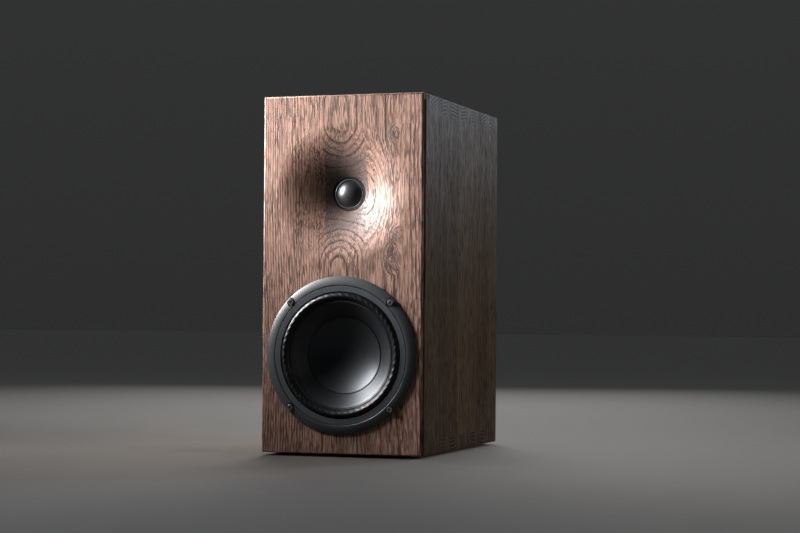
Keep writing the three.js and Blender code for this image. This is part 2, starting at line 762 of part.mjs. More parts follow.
// A two-core lead as a round tube along a smooth curve through its points.
const LEAD_RADIUS = 1.8;
const onBoard = boardTop + LEAD_RADIUS + 0.4;
function lead(points, steps) {
  const section = new THREE.Shape();
  section.absarc(0, 0, LEAD_RADIUS, 0, 2 * Math.PI, false);
  const corners = points.map((p) => new THREE.Vector3(...p));
  const extrudePath = new THREE.CatmullRomCurve3(corners, false, "centripetal");
  return closed(new THREE.ExtrudeGeometry(section, { extrudePath, steps, curveSegments: 4 }));
}
add(
  "woofer_lead",
  lead(
    [
      [-4, MOTOR_FRONT + 3.9, WOOFER_Z - 58],
      [-4, MOTOR_FRONT + 12, WOOFER_Z - 60.5],
      [-8, 90, WOOFER_Z - 68],
      [-22, 112, 34],
      [-34, 124, onBoard + 1],
      [-44, 134, onBoard],
    ],
    16,
  ),
  blackPlastic,
);
add(
  "tweeter_lead",
  lead(
    [
      [51.5, 150, onBoard],
      [60, 152, onBoard + 6],
      [63, 150, 90],
      [54, 134, 180],
      [BRACE_COLUMN, BRACE_ROWS[1], BRACE_Z - 8],
      [BRACE_COLUMN, BRACE_ROWS[1], BRACE_Z + BRACE_THICKNESS + 8],
      [44, 98, 248],
      [37, 72, TWEETER_Z - 14],
      [32, 60, TWEETER_Z - 6],
    ],
    22,
  ),
  blackPlastic,
);
add(
  "input_lead",
  lead(
    [
      [POST_SPACING / 2, plateBack - STUD_LENGTH - 0.8, TERMINAL_Z],
      [POST_SPACING / 2, plateBack - STUD_LENGTH - 12, TERMINAL_Z - 2],
      [POST_SPACING / 2 + 4, 243, 70],
      [POST_SPACING / 2 + 10, 240, 45],
      [POST_SPACING / 2 + 18, 231, onBoard],
    ],
    14,
  ),
  blackPlastic,
);

// The row's origin is under the middle of the whole object, posts and flange included.
const bounds = new THREE.Box3().setFromObject(speaker);
speaker.position.y = -(bounds.min.y + bounds.max.y) / 2;

export default speaker;
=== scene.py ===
"""A two-way bookshelf loudspeaker in smoked oak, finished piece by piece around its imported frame."""
import math

import bmesh
import bpy
from mathutils import Matrix, Vector


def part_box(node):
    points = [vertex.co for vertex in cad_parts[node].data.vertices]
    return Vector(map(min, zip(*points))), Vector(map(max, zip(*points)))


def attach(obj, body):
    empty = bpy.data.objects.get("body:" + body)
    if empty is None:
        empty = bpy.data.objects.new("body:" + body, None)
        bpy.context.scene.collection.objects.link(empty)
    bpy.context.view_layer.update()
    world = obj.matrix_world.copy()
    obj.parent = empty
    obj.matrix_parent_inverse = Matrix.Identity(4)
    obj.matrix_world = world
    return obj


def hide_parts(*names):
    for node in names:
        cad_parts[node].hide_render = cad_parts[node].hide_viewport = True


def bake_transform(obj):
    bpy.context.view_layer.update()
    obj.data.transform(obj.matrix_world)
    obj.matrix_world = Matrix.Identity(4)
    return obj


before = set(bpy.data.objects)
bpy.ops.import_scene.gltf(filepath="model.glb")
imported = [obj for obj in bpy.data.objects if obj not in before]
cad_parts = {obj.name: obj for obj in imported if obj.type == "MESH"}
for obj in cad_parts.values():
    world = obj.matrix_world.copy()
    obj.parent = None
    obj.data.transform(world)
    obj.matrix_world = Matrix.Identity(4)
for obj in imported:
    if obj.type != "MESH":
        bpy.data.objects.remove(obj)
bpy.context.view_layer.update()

# ---- Camera ---------------------------------------------------------------------------------
# A long lens, a little below the middle of the cabinet and looking up slightly, with the front
# face turned to the left and the right side in steep perspective.
camera_data = bpy.data.cameras.new("camera")
camera_data.lens = 87.68
camera_data.clip_end = 60
camera = bpy.data.objects.new("camera", camera_data)
bpy.context.scene.collection.objects.link(camera)
camera.matrix_world = (
    Matrix.Translation((0.7205, -2.0755, 0.1487))
    @ Matrix.Rotation(math.radians(18.80), 4, "Z")
    @ Matrix.Rotation(math.radians(91.47), 4, "X")
    @ Matrix.Rotation(math.radians(0.41), 4, "Z")
)
bpy.context.scene.camera = camera

# ---- Floor and studio light -----------------------------------------------------------------
# A wide pale floor. The key is one soft box close by on the left, higher than the cabinet and a
# little ahead of its face. It doesn't light the floor. Weak large lights lift the right side, the
# back and the edges of the top.
MM = 0.001


class Finish:
    """One node material. Values or output sockets go into a node's inputs by their names."""

    def __init__(self, name, color=None, roughness=0.5, **principled):
        self.material = bpy.data.materials.new(name)
        self.material.use_nodes = True
        self.tree = self.material.node_tree
        self.shader = self.tree.nodes["Principled BSDF"]
        if color is not None:
            self.set("Base Color", color)
        self.set("Roughness", roughness)
        for socket, value in principled.items():
            self.set(socket.replace("_", " "), value)

    def feed(self, socket, value):
        if isinstance(value, bpy.types.NodeSocket):
            self.tree.links.new(value, socket)
        elif socket.type == "RGBA" and len(value) == 3:
            socket.default_value = (*value, 1)
        else:
            socket.default_value = value

    def set(self, socket, value):
        self.feed(self.shader.inputs[socket], value)

    def node(self, kind, inputs=None, **settings):
        made = self.tree.nodes.new("ShaderNode" + kind)
        for key, value in settings.items():
            setattr(made, key, value)
        for socket, value in (inputs or {}).items():
            self.feed(made.inputs[socket], value)
        return made

    def math(self, operation, first, second=0.0, clamp=False):
        made = self.node("Math", {0: first, 1: second}, operation=operation, use_clamp=clamp)
        return made.outputs[0]

    def position(self, scale=(1, 1, 1)):
        """Object coordinates in metres, times a scale."""
        place = self.node("TexCoord").outputs["Object"]
        return self.node("Mapping", {"Vector": place, "Scale": scale}).outputs[0]

    def noise(self, scale, detail=2.0, roughness=0.5, vector=None):
        where = self.position() if vector is None else vector
        inputs = {"Vector": where, "Scale": scale, "Detail": detail, "Roughness": roughness}
        return self.node("TexNoise", inputs).outputs["Fac"]

    def between(self, value, low, high, to_low=0.0, to_high=1.0):
        """Value moved from one range to another, and held at its ends."""
        inputs = {"Value": value, "From Min": low, "From Max": high}
        inputs.update({"To Min": to_low, "To Max": to_high})
        return self.node("MapRange", inputs).outputs[0]

    def mix(self, factor, first, second):
        made = self.node("Mix", data_type="RGBA")
        self.feed(made.inputs[0], factor)
        self.feed(made.inputs[6], first)
        self.feed(made.inputs[7], second)
        return made.outputs[2]

    def bump(self, height, depth, strength=1.0):
        inputs = {"Height": height, "Distance": depth, "Strength": strength}
        self.set("Normal", self.node("Bump", inputs).outputs[0])


def link(name, mesh):
    made = bpy.data.objects.new(name, mesh)
    bpy.context.scene.collection.objects.link(made)
    return made


paper = Finish("studio_floor", (0.80, 0.79, 0.78), 0.85)
paper.set("Roughness", paper.between(paper.noise(30), 0.3, 0.7, 0.8, 0.9))
FLOOR_HALF = 14.0
floor_mesh = bpy.data.meshes.new("floor")
corners = [(-1, -1), (1, -1), (1, 1), (-1, 1)]
floor_mesh.from_pydata([(x * FLOOR_HALF, y * FLOOR_HALF, 0) for x, y in corners], [], [(0, 1, 2, 3)])
floor_mesh.materials.append(paper.material)
floor = link("floor", floor_mesh)

world = bpy.data.worlds.new("studio")
world.use_nodes = True
sky = world.node_tree.nodes["Background"]
up = world.node_tree.nodes.new("ShaderNodeSeparateXYZ")
rise = world.node_tree.nodes.new("ShaderNodeMapRange")
tint = world.node_tree.nodes.new("ShaderNodeMix")
tint.data_type = "RGBA"
tint.inputs[6].default_value = (0.66, 0.67, 0.68, 1)  # the horizon, as dim as the floor there
tint.inputs[7].default_value = (0.95, 0.98, 1.0, 1)
rise.inputs["From Min"].default_value = 0.0
rise.inputs["From Max"].default_value = 0.35
world.node_tree.links.new(world.node_tree.nodes.new("ShaderNodeTexCoord").outputs["Generated"], up.inputs[0])
world.node_tree.links.new(up.outputs["Z"], rise.inputs["Value"])
world.node_tree.links.new(rise.outputs[0], tint.inputs[0])
world.node_tree.links.new(tint.outputs[2], sky.inputs["Color"])
sky.inputs["Strength"].default_value = 0.040
bpy.context.scene.world = world


def soft_box(name, place, target, size, power, color, spread=180):
    data = bpy.data.lights.new(name, "AREA")
    data.shape = "RECTANGLE"
    data.size, data.size_y = size
    data.energy = power
    data.color = color
    data.spread = math.radians(spread)
    made = link(name, data)
    made.location = place
    made.rotation_euler = (Vector(target) - Vector(place)).to_track_quat("-Z", "Y").to_euler()
    made.visible_camera = False
    return made


TWEETER_HEIGHT = (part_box("tweeter_dome")[0].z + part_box("tweeter_dome")[1].z) / 2
key_place = Vector((-0.80, -0.375, 0.58))
key_aim = Vector((-0.12, -0.15, TWEETER_HEIGHT + 0.075))
key = soft_box("key", key_place, key_aim, (0.36, 0.50), 17.5, (1, 0.958, 0.945), 80)
soft_box("side_fill", (1.5, -0.2, 0.62), (0.09, -0.05, 0.36), (0.8, 0.8), 0.6, (1, 0.90, 0.76), 60)
soft_box("side_rim", (0.75, 1.3, 0.72), (0.09, -0.1, 0.46), (0.5, 0.5), 0.34, (0.74, 0.87, 1), 44)
soft_box("top_fill", (0.1, 0.3, 1.6), (0, 0, 0.38), (1.0, 1.0), 1.5, (0.92, 0.96, 1))
soft_box("back_fill", (-0.6, 2.0, 0.9), (0, 0, 0.2), (1.4, 1.0), 3, (1, 0.98, 0.95), 90)

# A black card between the key and the cabinet's foot keeps the light on its upper half. The key
# leaves the floor out, so the card throws no shadow there.
FLAG_TOP = 0.335
FLAG_FOOT = 0.05
FLAG_HALF = 0.5
FLAG_PART_WAY = 0.55  # from the cabinet's face to the key
card = Finish("flag_black", (0.01, 0.01, 0.01), 0.9)
flag_middle = Vector((0, -0.15, 0)).lerp(key_place, FLAG_PART_WAY)
along = Vector((-key_place.y - 0.15, key_place.x, 0)).normalized() * FLAG_HALF
flag_mesh = bpy.data.meshes.new("flag")
flag_corners = []
for s, z in ((-1, FLAG_FOOT), (1, FLAG_FOOT), (1, FLAG_TOP), (-1, FLAG_TOP)):
    flag_corners.append((flag_middle.x + s * along.x, flag_middle.y + s * along.y, z))
flag_mesh.from_pydata(flag_corners, [], [(0, 1, 2, 3)])
flag_mesh.materials.append(card.material)
flag = link("flag", flag_mesh)
flag.visible_camera = False
flag.visible_glossy = False
not_by_key = bpy.data.collections.new("not_lit_by_key")
not_by_key.objects.link(floor)
key.light_linking.receiver_collection = not_by_key
not_by_key.collection_objects[0].light_linking.link_state = "EXCLUDE"
bpy.context.scene.view_settings.view_transform = "Standard"

# ---- Smoked oak -----------------------------------------------------------------------------
# Solid oak, fumed dark and oiled: growth rings about each stave's own pith, open pores and dark
# streaks that follow them, fine fibres and small knots. The pattern is a solid one, so end grain
# and the turned horn show what a saw would find there.
X, Y, Z = 0, 1, 2
PITH_REACH = 0.4  # a pith lies at most this far from the middle of its panel


def oak(
    name, grain, across, middle, width, staves, light, dark, sheen=0.14, ring=1.9 * MM, knots=(), sheen_stave=-1
):
    """Grain and across are axes, and ring is one year's growth. A stave is (where it starts, pith
    across, pith in depth, tone) and a knot is (place across, place along the grain, radius). The stave
    numbered sheen_stave is grey where the cut goes far behind the face: a painted cool sheen and
    painted shade on the horn's wall."""
    wood = Finish(name)
    axes = wood.node("SeparateXYZ", {0: wood.position()}).outputs
    depth = 3 - grain - across
    u, v, w = [wood.math("SUBTRACT", axes[a], middle[a]) for a in (across, depth, grain)]
    choose = wood.node("ValToRGB", {0: wood.between(u, -width / 2, width / 2)})
    ramp = choose.color_ramp
    ramp.interpolation = "CONSTANT"
    for k, (start, pith_u, pith_v, tone) in enumerate(staves):
        stop = ramp.elements[0] if k == 0 else ramp.elements.new(start / width + 0.5)
        stop.color = (pith_u / PITH_REACH / 2 + 0.5, pith_v / PITH_REACH / 2 + 0.5, tone, float(k == sheen_stave))
    ramp.elements.remove(ramp.elements[-1])
    pith_u, pith_v, tone = wood.node("SeparateColor", {0: choose.outputs[0]}).outputs
    away_u = wood.math("SUBTRACT", u, wood.between(pith_u, 0, 1, -PITH_REACH, PITH_REACH))
    away_v = wood.math("SUBTRACT", v, wood.between(pith_v, 0, 1, -PITH_REACH, PITH_REACH))

    knot = 0.0
    for place_u, place_w, size in knots:
        off_u = wood.math("POWER", wood.math("DIVIDE", wood.math("SUBTRACT", u, place_u), size), 2.0)
        off_w = wood.math("POWER", wood.math("DIVIDE", wood.math("SUBTRACT", w, place_w), 1.6 * size), 2.0)
        spot = wood.between(wood.math("ADD", off_u, off_w), 0.0, 1.0, 1.0, 0.0)
        knot = wood.math("MAXIMUM", knot, spot)

    def sway(across_scale, along_scale, size):
        grid = [across_scale] * 3
        grid[grain] = along_scale
        wander = wood.noise(1.0, 2, 0.5, wood.position(grid))
        return wood.math("MULTIPLY", wood.math("SUBTRACT", wander, 0.5), size)

    bend = wood.math("ADD", sway(9.0, 3.0, 22 * MM), sway(60.0, 9.0, 2.6 * MM))
    bend = wood.math("ADD", bend, wood.math("MULTIPLY", knot, 5 * MM))
    squares = wood.math("ADD", wood.math("POWER", away_u, 2.0), wood.math("POWER", away_v, 2.0))
    radius = wood.math("SQRT", squares)
    radius = wood.math("ADD", wood.math("ADD", radius, bend), wood.math("MULTIPLY", w, 0.012))
    year = wood.math("DIVIDE", radius, ring)
    number = wood.math("FLOOR", year)
    chance = wood.node("TexWhiteNoise", {"W": number}, noise_dimensions="1D").outputs["Value"]
    phase = wood.math("FRACT", year)
    band = wood.math("MULTIPLY", wood.between(phase, 0.0, 0.08), wood.between(phase, 0.22, 0.60, 1.0, 0.0))
    band = wood.math("MULTIPLY", band, wood.between(chance, 0.1, 0.6, 0.45, 1.0))

    shift = wood.node("CombineXYZ", {across: bend}).outputs[0]
    bent = wood.node("VectorMath", {0: wood.position(), 1: shift}, operation="ADD").outputs[0]

    def stretched(wide, long, detail, roughness):
        """Noise of one grain: wide across and long along it, in millimetres."""
        grid = [1 / (wide * MM)] * 3
        grid[grain] = 1 / (long * MM)
        where = wood.node("Mapping", {"Vector": bent, "Scale": grid}).outputs[0]
        return wood.noise(1.0, detail, roughness, where)

    fibres = stretched(0.4, 26, 2, 0.6)
    streaks = wood.between(stretched(STREAK_WIDE, 15, 1.5, 0.5), 0.47, 0.55)
    streaks = wood.math("MULTIPLY", streaks, wood.between(stretched(9, 45, 2, 0.5), 0.36, 0.55, 0.5, 1.0))
    pores = wood.between(stretched(0.6, 8.5, 1, 0.5), 0.57, 0.66)
    pores = wood.math("MULTIPLY", pores, wood.between(band, 0.0, 0.7, 0.45, 1.0))
    clouds = stretched(30, 130, 3, 0.55)

    lines = wood.math("MULTIPLY", band, wood.between(stretched(2.0, 30, 2, 0.5), 0.34, 0.50, 0.35, 1.0))
    lines = wood.math("MAXIMUM", lines, wood.math("MULTIPLY", streaks, STREAK_DEPTH))
    facing = wood.node("SeparateXYZ", {0: wood.node("TexCoord").outputs["Normal"]}).outputs[grain]
    end = wood.between(wood.math("ABSOLUTE", facing), 0.45, 0.9)
    hatch = wood.math("MULTIPLY", end, wood.between(wood.math("PINGPONG", year, 1.0), 0.35, 0.65, 0.0, 0.7))
    lines = wood.math("MAXIMUM", wood.math("MULTIPLY", lines, wood.math("SUBTRACT", 1.0, end)), hatch)
    body = wood.mix(wood.between(fibres, 0.25, 0.75, 0.80, 1.0), dark, light)
    body = wood.mix(wood.math("MULTIPLY", lines, LINE_DEPTH), body, dark)
    shade = wood.between(clouds, 0.3, 0.7, 0.84, 1.14)
    shade = wood.math("MULTIPLY", shade, wood.between(tone, 0, 1, 0.5, 1.5))
    shade = wood.math("MULTIPLY", shade, wood.between(end, 0, 1, 1.0, END_SHADE))
    toned = wood.node("VectorMath", {0: body, "Scale": shade}, operation="SCALE").outputs[0]
    # Painted cool sheen and painted shade: the sheen stave turns grey where the horn cuts far into it.
    painted_sheen_mask = wood.math("MULTIPLY", choose.outputs[1], wood.between(v, HORN_SHEEN_FROM, HORN_SHEEN_FROM + 10 * MM))
    toned = wood.mix(wood.math("MULTIPLY", painted_sheen_mask, wood.between(lines, 0, 1, 0.75, 0.35)), toned, HORN_SHEEN_GREY)
    soot = tuple(0.20 * c for c in dark)
    toned = wood.mix(wood.math("MULTIPLY", pores, 0.8), toned, soot)
    blotch = wood.math("MULTIPLY", knot, wood.between(wood.noise(420, 3, 0.6), 0.42, 0.56))
    wood.set("Base Color", wood.mix(wood.math("MULTIPLY", blotch, 0.9), toned, KNOT_GREY))
    dull = wood.math("MULTIPLY", wood.math("MAXIMUM", pores, lines), 0.22)
    wood.set("Roughness", wood.math("ADD", wood.between(fibres, 0.3, 0.7, 0.34, 0.44), dull))
    dry = wood.between(wood.math("MAXIMUM", pores, lines), 0.0, 1.0, 1.0, 0.2)
    wood.set("Specular IOR Level", wood.math("MULTIPLY", dry, sheen))
    hollow = wood.math("ADD", pores, wood.math("MULTIPLY", lines, 0.35))
    wood.bump(wood.math("SUBTRACT", wood.math("MULTIPLY", fibres, 0.25), hollow), 0.10 * MM, 0.7)
    return wood.material


STREAK_WIDE = 0.95
END_SHADE = 0.6
STREAK_DEPTH = 0.86
LINE_DEPTH = 0.96
KNOT_GREY = (0.040, 0.036, 0.036)
# Painted cool sheen and painted shade, laid on the horn's wall in the middle stave.
HORN_SHEEN_GREY = (0.058, 0.057, 0.060)
HORN_SHEEN_FROM = -18.5 * MM  # in depth, from the middle of the baffle
# The front's pale tone is lighter and pinker than the other panels': painted key light.
FRONT_PALE_PAINTED_LIT = (0.315, 0.184, 0.140)
FUMED_DARK = (0.026, 0.017, 0.013)
low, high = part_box("front_baffle")
baffle_middle = (low + high) / 2
baffle_oak = oak(
    "smoked_oak_baffle", Z, X, baffle_middle, high.x - low.x,
    [
        (-0.090, -0.300, -0.060, 0.52),
        (-0.024, 0.001, -0.055, 0.46),
        (0.023, 0.030, 0.040, 0.50),
    ],
    FRONT_PALE_PAINTED_LIT, FUMED_DARK, 0.42, 2.7 * MM,
    [
        (0.058, 0.231 - baffle_middle.z, 0.010),
        (0.056, 0.341 - baffle_middle.z, 0.007),
        (0.055, 0.210 - baffle_middle.z, 0.012),
    ],
    1,
)

# ---- Front baffle ---------------------------------------------------------------------------
# Three staves glued up 40 mm thick, with eased edges and the tweeter's horn turned into the
# face. Behind the face it steps in to a block that plugs the cabinet's mouth.
FACE = low.y
LIP = 2.5 * MM  # thinner than the CAD's, so that the dark line behind it shows
PLUG_INSET = 16.3 * MM
EDGE = 2.3 * MM
HORN_RADIUS = 75.5 * MM
THROAT = 18.6 * MM
HORN_DEPTH = 21 * MM
HORN_POWER = 1.7
CUTTER_STEPS = 128


def middle_of(node):
    low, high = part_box(node)
    return (low + high) / 2


WOOFER = middle_of("woofer_basket")
TWEETER = middle_of("tweeter_face_plate")


def crisp(mesh, degrees=32):
    """Smooth shading that stops at the real corners."""
    work = bmesh.new()
    work.from_mesh(mesh)
    limit = math.radians(degrees)
    for edge in work.edges:
        edge.smooth = edge.calc_face_angle(math.pi) < limit
    for face in work.faces:
        face.smooth = True
    work.to_mesh(mesh)
    work.free()
    return mesh


def turned(profile, centre, steps=96, upright=False):
    """A mesh turned about the Y axis through centre, or about Z where upright, from (radius, height)
    points. A profile that doesn't start and end on the axis is closed back to its first point."""
    work = bmesh.new()
    rings = []
    for r, h in profile:
        angles = [2 * math.pi * k / steps for k in range(steps)] if r > 1e-7 else [0]
        ring = []
        for a in angles:
            one, two = r * math.cos(a), r * math.sin(a)
            place = (centre.x + one, centre.y + two, h) if upright else (centre.x + one, h, centre.z + two)
            ring.append(work.verts.new(place))
        rings.append(ring if r > 1e-7 else ring * steps)
    pairs = list(zip(rings, rings[1:]))
    if profile[0][0] > 1e-7:
        pairs.append((rings[-1], rings[0]))
    for one, two in pairs:
        for k in range(steps):
            corners = list(dict.fromkeys([one[k], one[k - 1], two[k - 1], two[k]]))
            if len(corners) > 2:
                work.faces.new(corners)
    return outward(work, "turned")


def outward(work, name):
    """The bmesh as a mesh with its faces pointing out."""
    bmesh.ops.recalc_face_normals(work, faces=work.faces)
    if work.calc_volume(signed=True) < 0:
        bmesh.ops.reverse_faces(work, faces=work.faces)
    mesh = bpy.data.meshes.new(name)
    work.to_mesh(mesh)
    work.free()
    return mesh


def eased(profile, radius, steps=3):
    """A closed profile with each corner rounded to the radius, or less where a side is short."""
    out = []
    count = len(profile)
    for k, corner in enumerate(profile):
        here = Vector(corner)
        before, after = Vector(profile[k - 1]) - here, Vector(profile[(k + 1) % count]) - here
        on_axis = corner[0] < 1e-7
        straight = before.length < 1e-9 or after.length < 1e-9 or before.angle(after) > math.radians(150)
        if on_axis or straight:
            out.append(tuple(here))
            continue
        reach = min(radius, 0.4 * before.length, 0.4 * after.length)
        start, end = here + before.normalized() * reach, here + after.normalized() * reach
        for i in range(steps + 1):
            t = i / steps
            out.append(tuple(start * (1 - t) ** 2 + here * 2 * t * (1 - t) + end * t ** 2))
    return out


def box_mesh(low, high, edges=(), rounding=0.0, segments=4):
    """A box. The edges along which both of the given tests hold are rounded."""
    work = bmesh.new()
    bmesh.ops.create_cube(work, size=1)
    size = Vector(high) - Vector(low)
    centre = (Vector(low) + Vector(high)) / 2
    for vert in work.verts:
        vert.co = Vector([vert.co[a] * size[a] + centre[a] for a in range(3)])
    if rounding:
        chosen = [e for e in work.edges if not edges or edges(e)]
        bmesh.ops.bevel(work, geom=chosen, offset=rounding, segments=segments, profile=0.5, affect="EDGES")
    mesh = bpy.data.meshes.new("box")
    work.to_mesh(mesh)
    work.free()
    return mesh


def carved(mesh, steps):
    """The mesh after each (operation, other mesh) is done to it in turn."""
    work = link("work", mesh)
    for operation, other in steps:
        tool = link("tool", other)
        cut = work.modifiers.new("cut", "BOOLEAN")
        cut.operation, cut.object, cut.solver = operation, tool, "EXACT"
        bpy.context.view_layer.update()
        done = bpy.data.meshes.new_from_object(work.evaluated_get(bpy.context.evaluated_depsgraph_get()))
        work.modifiers.clear()
        work.data = done
        bpy.data.objects.remove(tool)
    bpy.data.objects.remove(work)
    return done


def finished(name, mesh, material, body, replaced=()):
    """Makes the piece: flat faces kept flat where they meet rounded edges, on its body, in place of its
    CAD nodes, or of none."""
    crisp(mesh)
    mesh.name = name
    mesh.materials.clear()
    mesh.materials.append(material)
    piece = link(name, mesh)
    weigh = piece.modifiers.new("weigh", "WEIGHTED_NORMAL")
    weigh.keep_sharp = True
    bpy.context.view_layer.update()
    piece.data = bpy.data.meshes.new_from_object(piece.evaluated_get(bpy.context.evaluated_depsgraph_get()))
    piece.data.name = name
    piece.modifiers.clear()
    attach(piece, body)
    nodes = (name,) if replaced == () else replaced
    if nodes:
        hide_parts(*nodes)
    return piece


def horn_line(steps=36):
    """The horn's wall from its mouth to the throat. It starts a hair inside the mouth, where it is
    nearly level."""
    start = HORN_RADIUS - 1.4 * MM
    line = []
    for k in range(steps + 1):
        r = start + (THROAT - start) * k / steps
        line.append((r, FACE + HORN_DEPTH * ((HORN_RADIUS - r) / (HORN_RADIUS - THROAT)) ** HORN_POWER))
    return line


def front_edges(edge):
    return all(v.co.y < FACE + 1 * MM for v in edge.verts)


lip = box_mesh((low.x, FACE, low.z), (high.x, FACE + LIP, high.z), front_edges, EDGE, 6)
plug = box_mesh(
    (low.x + PLUG_INSET, FACE + LIP - 0.5 * MM, low.z + PLUG_INSET),
    (high.x - PLUG_INSET, high.y, high.z - PLUG_INSET),
)
wall = horn_line()
POCKET = FACE + 26 * MM
AHEAD = FACE - 5 * MM
BEHIND = high.y + 5 * MM
past_wall = [(THROAT, POCKET + 1 * MM), (0, POCKET + 1 * MM)]
horn = turned([(0, AHEAD), (wall[0][0], AHEAD), *wall, *past_wall], TWEETER, CUTTER_STEPS)
pocket = turned([(0, POCKET), (37 * MM, POCKET), (37 * MM, BEHIND), (0, BEHIND)], TWEETER, CUTTER_STEPS)
WOOFER_HOLE = 71 * MM
woofer_hole = turned(
    [
        (0, AHEAD),
        (WOOFER_HOLE, AHEAD),
        (WOOFER_HOLE, FACE + 9 * MM),
        (84 * MM, FACE + 41 * MM),
        (84 * MM, BEHIND),
        (0, BEHIND),
    ],
    WOOFER, CUTTER_STEPS,
)
baffle_cuts = [("DIFFERENCE", opening) for opening in (horn, pocket, woofer_hole)]
baffle_mesh = carved(lip, [("UNION", plug), *baffle_cuts])
finished("front_baffle", baffle_mesh, baffle_oak, "cabinet")

# ---- Sides, top and bottom ------------------------------------------------------------------
# Four panels 16 mm thick, their corners cut as finger joints and glued, then the whole carcass
# sanded flush and its edges broken. The top and bottom show end grain at the sides.
carcass_low = Vector((low.x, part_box("side_panel_left")[0].y, low.z))
carcass_high = Vector((high.x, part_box("side_panel_left")[1].y, high.z))
PANEL = 16 * MM
FIRST_FINGER = 33 * MM
FINGER_PITCH = 37.4 * MM
FINGER_WIDTH = 19 * MM
GLUE = 0.1 * MM
BROKEN_EDGE = 1.3 * MM
fingers = [FACE + FIRST_FINGER + k * FINGER_PITCH for k in range(7)]


def slab(outline, plane, start, end):
    """A flat slab: an outline in two axes, drawn out along the third."""
    work = bmesh.new()
    third = 3 - plane[0] - plane[1]
    verts = []
    for u, v in outline:
        place = [0.0, 0.0, 0.0]
        place[plane[0]], place[plane[1]], place[third] = u, v, start
        verts.append(work.verts.new(place))
    bottom = work.faces.new(verts)
    grown = bmesh.ops.extrude_face_region(work, geom=[bottom])["geom"]
    step = [0.0, 0.0, 0.0]
    step[third] = end - start
    bmesh.ops.translate(work, verts=[g for g in grown if isinstance(g, bmesh.types.BMVert)], vec=step)
    return outward(work, "slab")


def comb(ends, notched):
    """A panel's outline from front to back, fingers along both ends: its own, or notches for the other
    panel's."""
    low_end, high_end = ends
    inset = PANEL + GLUE / 2
    half = (FINGER_WIDTH + (GLUE if notched else 0)) / 2
    edge = [(carcass_low.y, 0)]
    for y in fingers:
        edge += [(y - half, 0), (y - half, 1), (y + half, 1), (y + half, 0)]
    edge.append((carcass_high.y, 0))
    step = inset if notched else -inset
    base = 0 if notched else inset
    far = [(y, high_end - base - step * k) for y, k in edge]
    near = [(y, low_end + base + step * k) for y, k in reversed(edge)]
    return far + near


def carcass_block():
    return box_mesh(carcass_low, carcass_high, None, BROKEN_EDGE, 4)


middle = (carcass_low + carcass_high) / 2
depth = carcass_high.y - carcass_low.y
# The pale tone of the sides, top and back is darker and browner than the front's: painted shade.
SIDE_PALE_PAINTED_SHADE = (0.155, 0.097, 0.056)
SIDE_DARK = (0.030, 0.020, 0.012)
side_staves = [
    (-depth / 2, 0.39, 0.05, 0.46),
    (-depth / 2 + 0.040, -0.33, -0.08, 0.34),
    (-depth / 2 + 0.078, 0.36, 0.10, 0.42),
    (-depth / 2 + 0.116, -0.38, 0.04, 0.72),
    (-depth / 2 + 0.152, 0.31, -0.10, 0.60),
    (-depth / 2 + 0.191, -0.30, 0.07, 0.44),
    (-depth / 2 + 0.232, 0.37, -0.04, 0.60),
]
side_oak = oak("smoked_oak_side", Z, Y, middle, depth, side_staves, SIDE_PALE_PAINTED_SHADE, SIDE_DARK)
lid_staves = [
    (-depth / 2, 0.02, -0.060, 0.40),
    (-depth / 2 + 0.061, -0.05, 0.075, 0.34),
    (-depth / 2 + 0.118, 0.04, -0.055, 0.42),
    (-depth / 2 + 0.170, 0.11, 0.080, 0.36),
    (-depth / 2 + 0.226, 0.06, -0.070, 0.40),
]
lid_oak = oak("smoked_oak_top", X, Y, middle, depth, lid_staves, SIDE_PALE_PAINTED_SHADE, SIDE_DARK)

side_outline = comb((carcass_low.z, carcass_high.z), True)
for name, start in (("side_panel_left", carcass_low.x), ("side_panel_right", carcass_high.x - PANEL)):
    panel = slab(side_outline, (Y, Z), start, start + PANEL)
    finished(name, carved(panel, [("INTERSECT", carcass_block())]), side_oak, "cabinet")
lid_outline = [(x, y) for y, x in comb((carcass_low.x, carcass_high.x), False)]
for name, start in (("bottom_panel", carcass_low.z), ("top_panel", carcass_high.z - PANEL)):
    panel = slab(lid_outline, (X, Y), start, start + PANEL)
    finished(name, carved(panel, [("INTERSECT", carcass_block())]), lid_oak, "cabinet")

# ---- Woofer basket --------------------------------------------------------------------------
# A pressure die casting with fine satin black paint: a domed flange in front of the baffle, a
# short barrel, spokes, and the seat for the motor. Each screw's head sits in a pocket.
SCREW_CIRCLE = 78.9 * MM
HEAD_POCKET = 4.75 * MM
HEAD_SEAT = FACE - 1.8 * MM
SHAFT_HOLE = 2.4 * MM
screw_angles = [math.radians(a) for a in (45, 135, 225, 315)]


def from_face(*points):
    """(radius, depth) points in millimetres behind the baffle's face, in metres."""
    return [(r * MM, FACE + y * MM) for r, y in points]


def on_woofer(profile, steps=96):
    return turned(profile, WOOFER, steps)


flange_dome = [
    (83.5 - 9.2 * t, -1.55 - 2.25 * math.sin(math.pi / 2 * t) ** 0.9) for t in [k / 12 for k in range(13)]
]
basket_profile = from_face(
    (70.4, -0.9), (83.3, -0.9), (83.5, -1.1), *flange_dome, (74.0, -3.6), (73.9, -1.9), (67, -1.9), (67, 7),
    (57, 37), (53.5, 37), (53.5, 39), (55, 39.5), (51, 49.5), (23, 49.5), (23, 54), (54.5, 54), (70.4, 9),
)


def spun_box(size, centre, angle):
    """A box placed outwards along X, then turned about the woofer's axis."""
    half = Vector(size) / 2
    mesh = box_mesh(Vector(centre) - half, Vector(centre) + half, None, 2 * MM, 2)
    mesh.transform(Matrix.Translation((WOOFER.x, 0, WOOFER.z)) @ Matrix.Rotation(angle, 4, "Y"))
    return mesh


